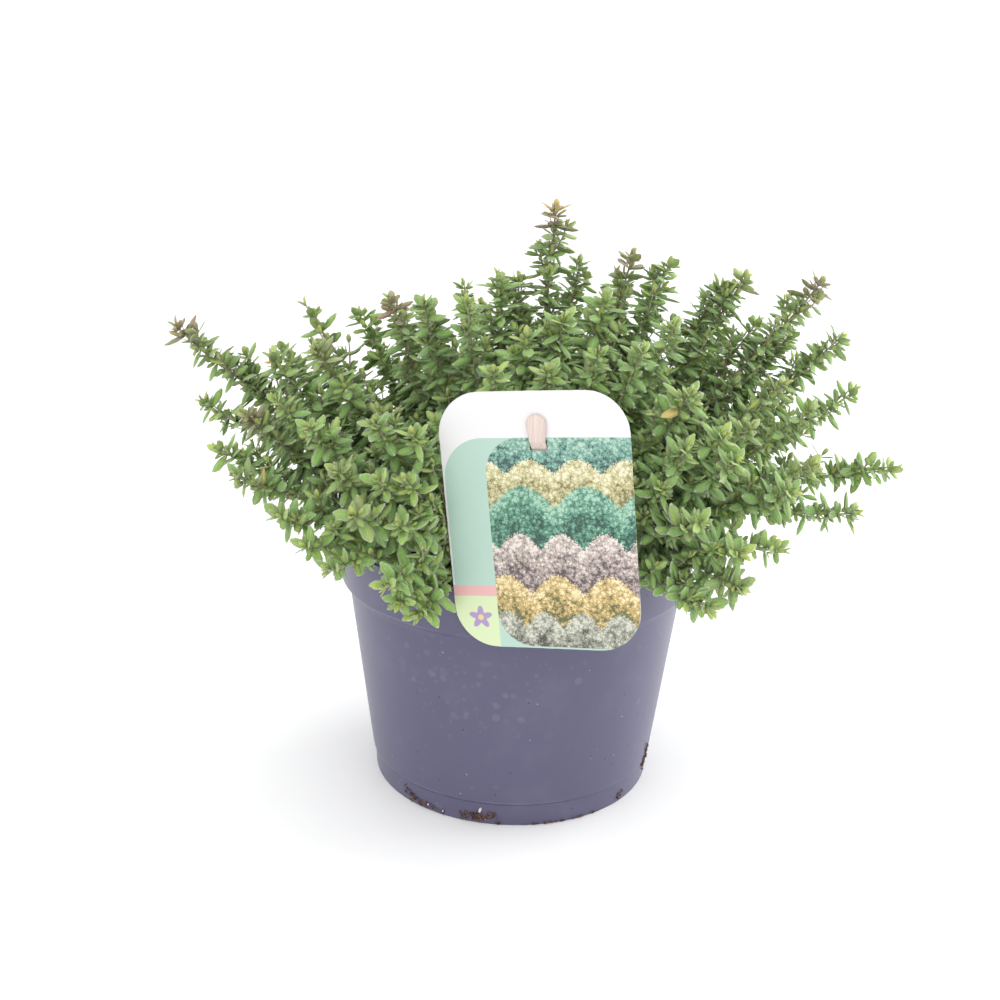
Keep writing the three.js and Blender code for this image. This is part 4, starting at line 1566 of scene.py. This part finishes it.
def stem_shape(way, thick, thin, look, wood_share):
    """A square stem: four corners at the stem's radius round its line, closed at both ends.

    The radius runs from thick at the foot to thin at the tip. The first number of look
    says how woody the stem is: 1 below the wood's share of the length, falling to 0.
    """
    count = max(6, int(way["length"] / 5))
    share = np.linspace(0, 1, count)
    place, _, across, side = station(way, share * way["length"])
    radius = (thick + (thin - thick) * share)[:, None, None]
    corner = np.arange(4) * np.pi / 2 + np.pi / 4
    ring = across[:, None] * np.cos(corner)[None, :, None]
    ring = ring + side[:, None] * np.sin(corner)[None, :, None]
    vertices = (place[:, None] + radius * ring).reshape(-1, 3)
    quads = grid_quads(count, 4, closed=True)
    last = 4 * (count - 1)
    ends = np.array([[3, 2, 1, 0], [last, last + 1, last + 2, last + 3]])
    quads = np.concatenate([quads, ends])
    looks = np.tile(np.array(look, float), (len(vertices), 1))
    wood = 1 - blend_step(wood_share * 0.5, wood_share * 1.3 + 1e-3, share)
    looks[:, 0] = np.repeat(wood, 4)
    return {
        "vertices": vertices,
        "quads": quads,
        "triangles": np.zeros((0, 3), int),
        "quad_uv": np.zeros((len(quads), 4, 2)),
        "triangle_uv": np.zeros((0, 3, 2)),
        "quad_material": np.ones(len(quads)),
        "triangle_material": np.zeros(0),
        "look": looks,
    }


def wall_radius(z):
    """The pot's outer radius at a height, by straight lines between its corners."""
    heights = [0, SHOULDER_Z, COLLAR_BOTTOM, POT_HEIGHT]
    radii = [FOOT_RADIUS, SHOULDER_RADIUS, COLLAR_BOTTOM_RADIUS, RIM_RADIUS]
    return np.interp(z, heights, radii)


def camera_place():
    """The camera's place in millimetres."""
    return np.array(bpy.context.scene.thyme_stage.camera_place) * METRE


# How far the leaves keep above the rim, inside and outside the wall, beside the card and
# behind its plane, and how deep they may lie in the compost
ABOVE_RIM = 0.8
INSIDE_WALL = 1.0
OUTSIDE_WALL = 0.9
BESIDE_CARD = 0.6
BEHIND_CARD = 2.2
IN_COMPOST = 0.5


def hits_something(points):
    """True for each point in the pot's wall or compost, in the card, or in front of it as
    seen from the camera.
    """
    x, y, z = points[..., 0], points[..., 1], points[..., 2]
    radius = np.hypot(x, y)
    wall = wall_radius(z)
    in_wall = (radius > wall - WALL - INSIDE_WALL) & (radius < wall + OUTSIDE_WALL)
    in_pot = (z < POT_HEIGHT + ABOVE_RIM) & in_wall
    in_compost = (z < COMPOST_TOP_Z - IN_COMPOST) & (radius < wall - WALL)
    local = to_card(points)
    eye = to_card(camera_place())
    share = eye[2] / np.maximum(eye[2] - local[..., 2], 1e-6)
    seen = eye[:2] + (local[..., :2] - eye[:2]) * share[..., None]
    off = np.abs(np.where(local[..., 2:] > 0, seen, local[..., :2]) - CARD_CENTRE)
    over_card = (off[..., 0] < CARD_WIDTH / 2 + BESIDE_CARD) & (
        off[..., 1] < CARD_HEIGHT / 2 + BESIDE_CARD
    )
    before_card = over_card & (local[..., 2] > -BEHIND_CARD)
    return in_pot | in_compost | before_card


def leaf_probes(leaves):
    """Four points of each leaf: its middle, its tip and both edges."""
    along, facing, aside = leaf_axes(leaves)
    length = leaves["length"][:, None]
    half = 0.24 * length
    droop = leaves["droop"][:, None]
    middle = leaves["base"] + along * 0.5 * length - facing * droop * 0.25 * length
    tip = leaves["base"] + along * length - facing * droop * length
    return np.stack([middle, tip, middle + aside * half, middle - aside * half], axis=1)


def leaf_looks(leaves, blush, amber, rng):
    """Youth, shade, blush and wilt of each leaf, from 0 to 1, for the leaves' material.

    Youth is 1 less the leaf's age, and at least 0.4 times e to the power of -down / 12,
    where down is the way from the tip in millimetres. Blush is strongest 4 mm below the tip
    and fades below it. A few grown leaves wilt, and amber does the same to the bud.
    """
    down = leaves["down"]
    count = len(down)
    youth = np.maximum(1 - leaves["age"], 0.4 * np.exp(-down / 12))
    youth = np.clip(youth + rng.normal(0, 0.12, count), 0, 1)
    shade = rng.random() * 0.5 + rng.random(count) * 0.5
    red = np.exp(-(((down - 4) / 5) ** 2)) + 0.35 * np.exp(-down / 20)
    red = red * (0.35 + 0.65 * blend_step(0.3, 2.0, down))
    red = np.clip(blush * red * rng.uniform(0.5, 1.1, count), 0, 1)
    wilt = (rng.random(count) < WILTED_SHARE) * rng.uniform(0.5, 1, count) * (youth < 0.4)
    wilt = np.maximum(wilt, amber * np.exp(-((down / 2.5) ** 2)))
    return np.stack([youth, shade, red, wilt], axis=-1)


def leaf_kinds(leaves, fine):
    """Each leaf's row of LEAF_KINDS: the finest for grown leaves of a fine shoot's stem, the
    plain one for those of side shoots, and the smallest for tufts and the shortest leaves.
    """
    plain = (leaves["tuft"] > 0.25) | (leaves["length"] < PLAIN_BELOW)
    small = (leaves["tuft"] > 0.75) | (leaves["length"] < SMALL_BELOW)
    kind = np.where(small, 2, np.where(plain, 1, 0))
    return kind if fine else np.maximum(kind, 1)


# A shoot: the share of its stem without leaves, the random ranges of its leaf spacing and
# size, how soon its pairs part, and its stem's thickness at the foot and the tip
BARE_SHARE = 0.38
SPACING_RANGE = (0.88, 1.14)
SIZE_RANGE = (0.9, 1.1)
CROWDING_RANGE = (1.7, 3.0)
STEM_RADII = (1.0, 0.42)
PLAIN_TUFTS = 0.3
WILTED_SHARE = 0.005
# Its side shoots: how far down from the tip the first one stands and how far apart the
# others, in millimetres, the turn from one to the next and how much it strays, their least
# and greatest length and how it grows on the way down, and the shares of full leaves, bare
# stem and tufts that they have
FIRST_SIDE_SHOOT = (15, 21)
NEXT_SIDE_SHOOT = (9, 13)
SIDE_TURN = math.radians(137)
SIDE_TURN_STRAY = 0.2
SIDE_SHORTEST = 8
SIDE_LONGEST = 26
SIDE_GROWTH = 0.22
SIDE_RANGE = (0.75, 1.15)
SIDE_RADII = (0.5, 0.34)
SIDE_LEAVES = 0.9
SIDE_BARE = 0.1
SIDE_TUFTS = 0.4
# They stand on this share of the leafy stem, and their line is tested from this point on
SIDE_ZONE = 0.97
SIDE_TESTED_FROM = 20


def grow_shoot(bends, settings, rng, blush=0.0, amber=0.0, stretch=1.0, fine=True):
    """One shoot's shape: its stem, leaf pairs, axil tufts and side shoots.

    blush reddens the young leaves and amber tints the bud, both from 0 to 1. stretch
    draws the leaf pairs apart. A shoot that isn't fine has plainer leaves and fewer tufts.
    """
    way = way_along(bends)
    spacing = settings.pair_spacing * rng.uniform(*SPACING_RANGE) * stretch
    full = settings.leaf_length * rng.uniform(*SIZE_RANGE)
    crowding = rng.uniform(*CROWDING_RANGE) / stretch**2
    main = leaf_pairs(way, full, BARE_SHARE, spacing, crowding, rng)
    tufts = settings.tufts if fine else PLAIN_TUFTS * settings.tufts
    parts = [main, axil_tufts(main, tufts, rng)]
    stems = [stem_shape(way, *STEM_RADII, (0, rng.random(), blush, 0), 0.5)]
    leafy = way["length"] * (1 - BARE_SHARE) * SIDE_ZONE
    down = rng.uniform(*FIRST_SIDE_SHOOT)
    turn = rng.uniform(0, 2 * np.pi)
    while down < leafy:
        length = min(SIDE_SHORTEST + SIDE_GROWTH * down, SIDE_LONGEST) * rng.uniform(*SIDE_RANGE)
        small = side_way(way, down, turn, length)
        if not hits_something(small["places"][SIDE_TESTED_FROM:]).any():
            twigs = leaf_pairs(small, full * SIDE_LEAVES, SIDE_BARE, spacing, crowding, rng)
            twigs["down"] = twigs["down"] + 0.5 * down
            parts.append(axil_tufts(twigs, SIDE_TUFTS * tufts, rng))
            twigs["tuft"] = twigs["tuft"] + 0.5
            parts.append(twigs)
            stems.append(stem_shape(small, *SIDE_RADII, (0, rng.random(), blush, 0), 0.01))
        down += rng.uniform(*NEXT_SIDE_SHOOT)
        turn += SIDE_TURN + rng.normal(0, SIDE_TURN_STRAY)
    leaves = joined_rows(parts)
    kept = ~hits_something(leaf_probes(leaves)).any(axis=1)
    leaves = {key: rows[kept] for key, rows in leaves.items()}
    leaves["look"] = leaf_looks(leaves, blush, amber, rng)
    slim = settings.leaf_width / settings.leaf_length
    kind = leaf_kinds(leaves, fine)
    shapes = []
    for number, (section, stations) in enumerate(LEAF_KINDS):
        rows = {key: value[kind == number] for key, value in leaves.items()}
        shapes.append(leaf_shape(rows, slim, section, stations))
    return joined_shape(shapes + stems)


# A leaf's deep green is its own green dimmed by these shares, and its under side, blushed and
# wilted parts have colours of their own
DEEPENING = (0.76, 0.82, 0.95)
UNDER_SIDE = (0.30, 0.38, 0.20, 1)
DUSTY_ROSE = (0.36, 0.16, 0.19, 1)
WILTED = (0.72, 0.48, 0.15, 1)
SIDE_VEINS = 6.0
VEIN_SLANT = -1.3


def leaf_material(settings):
    """Variegated leaf: a green middle, an uneven cream margin and a pale midrib, with side
    veins and fine hairs. The look attribute holds youth, shade, blush and wilt.

    The side veins lie where the sine of pi times (SIDE_VEINS v + VEIN_SLANT across) is near
    0, where v runs from base to tip and across from the midrib to the edge.
    """
    material, shader, principled = new_material("variegated_leaf")
    u, v, _ = shader.split(shader.node("UVMap", uv_map="UVMap").outputs["UV"])
    look = shader.node("Attribute", attribute_name="look")
    youth, shade, blush = shader.split(look.outputs["Color"])
    wilt = look.outputs["Alpha"]
    place = shader.place()
    under = shader.math("GREATER_THAN", u, 1.0001)
    within = shader.math("FRACT", shader.times(u, 0.99999))
    across = shader.away(shader.times(within, 2.0), 1.0)
    mottle = shader.noise(place, 700.0, 2.0)
    tip = shader.times(shader.minus(1.0, v), 2.4)
    edge = shader.math("MINIMUM", shader.minus(1.0, across), tip)
    edge = shader.add(edge, shader.times(shader.minus(mottle, 0.5), 0.3))
    margin = shader.step(edge, 0.06, 0.24, 1.0, 0.0)
    rib = shader.step(across, 0.02, 0.13, 1.0, 0.0)
    vein_run = shader.add(shader.times(v, SIDE_VEINS), shader.times(across, VEIN_SLANT))
    veins = shader.math("SINE", shader.times(vein_run, math.pi))
    veins = shader.step(shader.math("ABSOLUTE", veins), 0.0, 0.4, 1.0, 0.0)
    green = rgba(settings.leaf_green)
    deep = rgba([channel * share for channel, share in zip(settings.leaf_green, DEEPENING)])
    young = rgba(settings.young_green)
    cream = rgba(settings.margin_cream)
    body = shader.mix(shader.step(shade, 0.0, 1.0), deep, green)
    body = shader.mix(shader.step(mottle, 0.35, 0.75, 0.0, 0.2), body, young)
    body = shader.mix(shader.step(youth, 0.2, 0.95), body, young)
    body = shader.mix(shader.times(veins, 0.2), body, cream)
    body = shader.mix(shader.times(rib, 0.25), body, cream)
    body = shader.mix(shader.times(margin, 0.85), body, cream)
    body = shader.mix(shader.times(under, 0.5), body, UNDER_SIDE)
    fringe = shader.step(edge, 0.0, 0.75, 1.0, 0.5)
    body = shader.mix(shader.times(blush, fringe), body, DUSTY_ROSE)
    body = shader.mix(wilt, body, WILTED)
    hairs = shader.noise(place, 2500.0, 2.0)
    height = shader.minus(hairs, shader.times(shader.larger(veins, rib), 0.9))
    finish_surface(shader, principled, {
        "Base Color": body,
        "Roughness": 0.5,
        "Specular IOR Level": 0.35,
        "Sheen Weight": 0.2,
        "Sheen Roughness": 0.5,
        "Subsurface Weight": 0.2,
        "Subsurface Scale": 0.003,
        "Subsurface Radius": (0.75, 1.0, 0.3),
        "Normal": shader.bump(height, 0.00012),
    })
    return material


GREEN_STEM = (0.36, 0.37, 0.20, 1)
BROWN_STEM = (0.50, 0.42, 0.32, 1)
RED_STEM = (0.30, 0.13, 0.12, 1)
DARK_BARK = (0.05, 0.03, 0.02, 1)
PALE_BARK = (0.20, 0.13, 0.09, 1)


def stem_material():
    """Square stems: pale green-brown and downy when young, with brown bark below."""
    material, shader, principled = new_material("thyme_stem")
    look = shader.node("Attribute", attribute_name="look")
    wood, shade, blush = shader.split(look.outputs["Color"])
    bark = shader.noise(shader.place(), 900.0, 4.0)
    young = shader.mix(shade, GREEN_STEM, BROWN_STEM)
    young = shader.mix(shader.times(blush, 0.5), young, RED_STEM)
    old = shader.mix(bark, DARK_BARK, PALE_BARK)
    finish_surface(shader, principled, {
        "Base Color": shader.mix(wood, young, old),
        "Roughness": 0.7,
        "Normal": shader.bump(bark, 0.0004),
    })
    return material


# How red the young leaves are, by the number of the frame's shoot, and on all others
BLUSH = {2: 0.4, 3: 0.7, 21: 0.95, 24: 0.2, 25: 0.9, 26: 1.0, 30: 0.7, 31: 0.3, 32: 0.9, 37: 0.4}
FAINT_BLUSH = 0.06
# The tallest shoot of the frame has an amber bud
TALLEST = 26
BUD_AMBER = 0.55
# The shoots of the frame whose leaf pairs stand apart, and how far
STRETCH = {5: 1.15, 10: 1.3, 11: 1.35, 18: 1.15, 20: 1.3, 21: 1.15, 24: 1.45, 35: 1.15}


def foliage_materials(settings):
    """The materials of leaves and stems, made once."""
    if "variegated_leaf" in bpy.data.materials:
        return [bpy.data.materials[name] for name in ("variegated_leaf", "thyme_stem")]
    return [leaf_material(settings), stem_material()]


class THYME_OT_shoots(bpy.types.Operator):
    """Makes a leafy shoot in the place of each shoot of the frame"""

    bl_idname = "thyme.shoots"
    bl_label = "Make the shoots"

    def execute(self, context):
        settings = context.scene.thyme_foliage
        materials = foliage_materials(settings)
        tips = FRONT_TIPS + SIDE_TIPS + BACK_TIPS
        for number, (crown, tip) in enumerate(zip(crown_points(tips), tips), 1):
            rng = np.random.default_rng([SEED, number])
            blush = BLUSH.get(number, FAINT_BLUSH)
            amber = BUD_AMBER if number == TALLEST else 0.0
            stretch = STRETCH.get(number, 1.0)
            shape = grow_shoot(stem_bends(crown, tip), settings, rng, blush, amber, stretch)
            node = f"thyme_shoot_{number:02d}"
            make_piece(f"leafy_shoot_{number:02d}", shape, materials, [node])
        return {"FINISHED"}


# The crowns of the shoots between are drawn in a little, and a few of those shoots blush
INFILL_DRAWN_IN = 0.9
INFILL_BLUSHED_SHARE = 0.15
INFILL_BLUSH = 0.25
INFILL_FAINT_BLUSH = 0.05


class THYME_OT_infill(bpy.types.Operator):
    """Makes the further shoots that fill the plant between those of the frame"""

    bl_idname = "thyme.infill"
    bl_label = "Make the shoots between"

    def execute(self, context):
        settings = context.scene.thyme_foliage
        materials = foliage_materials(settings)
        for name, tips, fine in (
            ("front_infill", FRONT_INFILL, True),
            ("back_infill", BACK_INFILL, False),
            ("inner_infill", INNER_INFILL, False),
        ):
            crowns = crown_points(tips)
            half = (len(tips) + 1) // 2
            for part, first in (("a", 0), ("b", half)):
                shapes = []
                for number in range(first, min(first + half, len(tips))):
                    rng = np.random.default_rng([SEED, 100 + number, len(name)])
                    bends = stem_bends(crowns[number] * INFILL_DRAWN_IN, tips[number])
                    blushed = rng.random() < INFILL_BLUSHED_SHARE
                    blush = INFILL_BLUSH if blushed else INFILL_FAINT_BLUSH
                    shapes.append(grow_shoot(bends, settings, rng, blush, fine=fine))
                make_piece(f"{name}_{part}", joined_shape(shapes), materials)
        return {"FINISHED"}


# Stage


class StageSettings(bpy.types.PropertyGroup):
    """The camera and the light"""

    camera_place: FloatVectorProperty(
        name="Camera place", description="Where the camera stands", subtype="XYZ", unit="LENGTH",
        default=(0.0, -0.6356, 0.3532),
    )
    pitch: FloatProperty(
        name="Pitch", description="How far the camera looks down", subtype="ANGLE",
        default=math.radians(19.05),
    )
    yaw: FloatProperty(
        name="Yaw", description="How far the camera looks to the right", subtype="ANGLE",
        default=math.radians(-0.73),
    )
    roll: FloatProperty(
        name="Roll", description="How far the camera is tipped", subtype="ANGLE",
        default=math.radians(1.31),
    )
    lens: FloatProperty(
        name="Lens", description="Focal length for a sensor 36 mm wide, in millimetres",
        default=51.62, min=10, max=200,
    )
    sky: FloatProperty(
        name="Sky", description="Strength of the white surroundings", default=1.33, min=0
    )
    key: FloatProperty(
        name="Key", description="Power of the large lamp above the camera", default=1.6,
        min=0, unit="POWER",
    )


def add_camera(settings):
    """The camera: right, up and back are its axes from yaw, pitch and roll."""
    forward = Vector(
        (
            math.sin(settings.yaw) * math.cos(settings.pitch),
            math.cos(settings.yaw) * math.cos(settings.pitch),
            -math.sin(settings.pitch),
        )
    )
    level = Vector((math.cos(settings.yaw), -math.sin(settings.yaw), 0))
    upright = level.cross(forward)
    right = math.cos(settings.roll) * level + math.sin(settings.roll) * upright
    up = math.cos(settings.roll) * upright - math.sin(settings.roll) * level
    camera = bpy.data.objects.new("camera", bpy.data.cameras.new("camera"))
    camera.data.sensor_width = 36
    camera.data.lens = settings.lens
    camera.data.clip_start = 0.02
    axes = Matrix((right, up, -forward)).transposed().to_4x4()
    camera.matrix_world = Matrix.Translation(settings.camera_place) @ axes
    bpy.context.scene.collection.objects.link(camera)
    bpy.context.scene.camera = camera


# The lamps' places and size in metres, the point they shine at, and the power of the one
# beside the plant against that of the key lamp
KEY_PLACE = (-0.35, -0.7, 1.1)
RIM_PLACE = (0.95, 0.45, 0.35)
RIM_SHARE = 5.6
LAMP_SIZE = 0.9
LAMP_AIM = Vector((0, 0, 0.12))
FLOOR_REACH = 40


def add_lamp(name, place, power):
    """A square soft lamp that shines at the middle of the plant."""
    data = bpy.data.lights.new(name, "AREA")
    data.size = LAMP_SIZE
    data.energy = power
    lamp = bpy.data.objects.new(name, data)
    turn = (LAMP_AIM - Vector(place)).to_track_quat("-Z", "Y").to_matrix().to_4x4()
    lamp.matrix_world = Matrix.Translation(place) @ turn
    bpy.context.scene.collection.objects.link(lamp)


class THYME_OT_stage(bpy.types.Operator):
    """Makes the pale floor, the white surroundings, the lamps and the camera"""

    bl_idname = "thyme.stage"
    bl_label = "Make the stage"

    def execute(self, context):
        settings = context.scene.thyme_stage
        add_camera(settings)
        world = bpy.data.worlds.new("white_surroundings")
        world.use_nodes = True
        background = world.node_tree.nodes["Background"]
        background.inputs["Color"].default_value = (1, 1, 1, 1)
        background.inputs["Strength"].default_value = settings.sky
        context.scene.world = world
        context.scene.view_settings.view_transform = "Standard"
        add_lamp("key_lamp", KEY_PLACE, settings.key)
        add_lamp("rim_lamp", RIM_PLACE, settings.key * RIM_SHARE)
        mesh = bpy.data.meshes.new("floor")
        corners = [(-1, -1, 0), (1, -1, 0), (1, 1, 0), (-1, 1, 0)]
        places = [(x * FLOOR_REACH, y * FLOOR_REACH, z) for x, y, z in corners]
        mesh.from_pydata(places, [], [(0, 1, 2, 3)])
        material, shader, principled = new_material("pale_floor")
        grain = shader.noise(shader.place(), 40.0, 2.0)
        colour = shader.mix(grain, (0.93, 0.93, 0.93, 1), (0.95, 0.95, 0.95, 1))
        finish_surface(shader, principled, {"Base Color": colour, "Roughness": 0.6})
        mesh.materials.append(material)
        floor = bpy.data.objects.new("floor", mesh)
        context.scene.collection.objects.link(floor)
        return {"FINISHED"}


# Panel and registration


class THYME_PT_panel(bpy.types.Panel):
    """Lists the steps that build the plant"""

    bl_idname = "THYME_PT_panel"
    bl_label = "Potted thyme"
    bl_space_type = "VIEW_3D"
    bl_region_type = "UI"
    bl_category = "Thyme"

    def draw(self, context):
        for operator in OPERATORS:
            self.layout.operator(operator.bl_idname)


SETTINGS = {
    "thyme_pot": PotSettings,
    "thyme_compost": CompostSettings,
    "thyme_card": CardSettings,
    "thyme_foliage": FoliageSettings,
    "thyme_stage": StageSettings,
}
OPERATORS = [
    THYME_OT_stage,
    THYME_OT_pot,
    THYME_OT_compost,
    THYME_OT_foot_crumbs,
    THYME_OT_label,
    THYME_OT_shoots,
    THYME_OT_infill,
]


def register():
    """Makes the classes known to Blender, and the settings a part of the scene."""
    for group in SETTINGS.values():
        bpy.utils.register_class(group)
    for operator in OPERATORS:
        bpy.utils.register_class(operator)
    bpy.utils.register_class(THYME_PT_panel)
    for name, group in SETTINGS.items():
        setattr(bpy.types.Scene, name, PointerProperty(type=group))


def unregister():
    """Takes back what register did."""
    for name in SETTINGS:
        delattr(bpy.types.Scene, name)
    bpy.utils.unregister_class(THYME_PT_panel)
    for known in [*OPERATORS, *SETTINGS.values()]:
        bpy.utils.unregister_class(known)


def main():
    """Builds the plant by its operators in order."""
    register()
    for operator in OPERATORS:
        group, step = operator.bl_idname.split(".")
        getattr(getattr(bpy.ops, group), step)()
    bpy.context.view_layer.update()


if __name__ == "__main__":
    main()
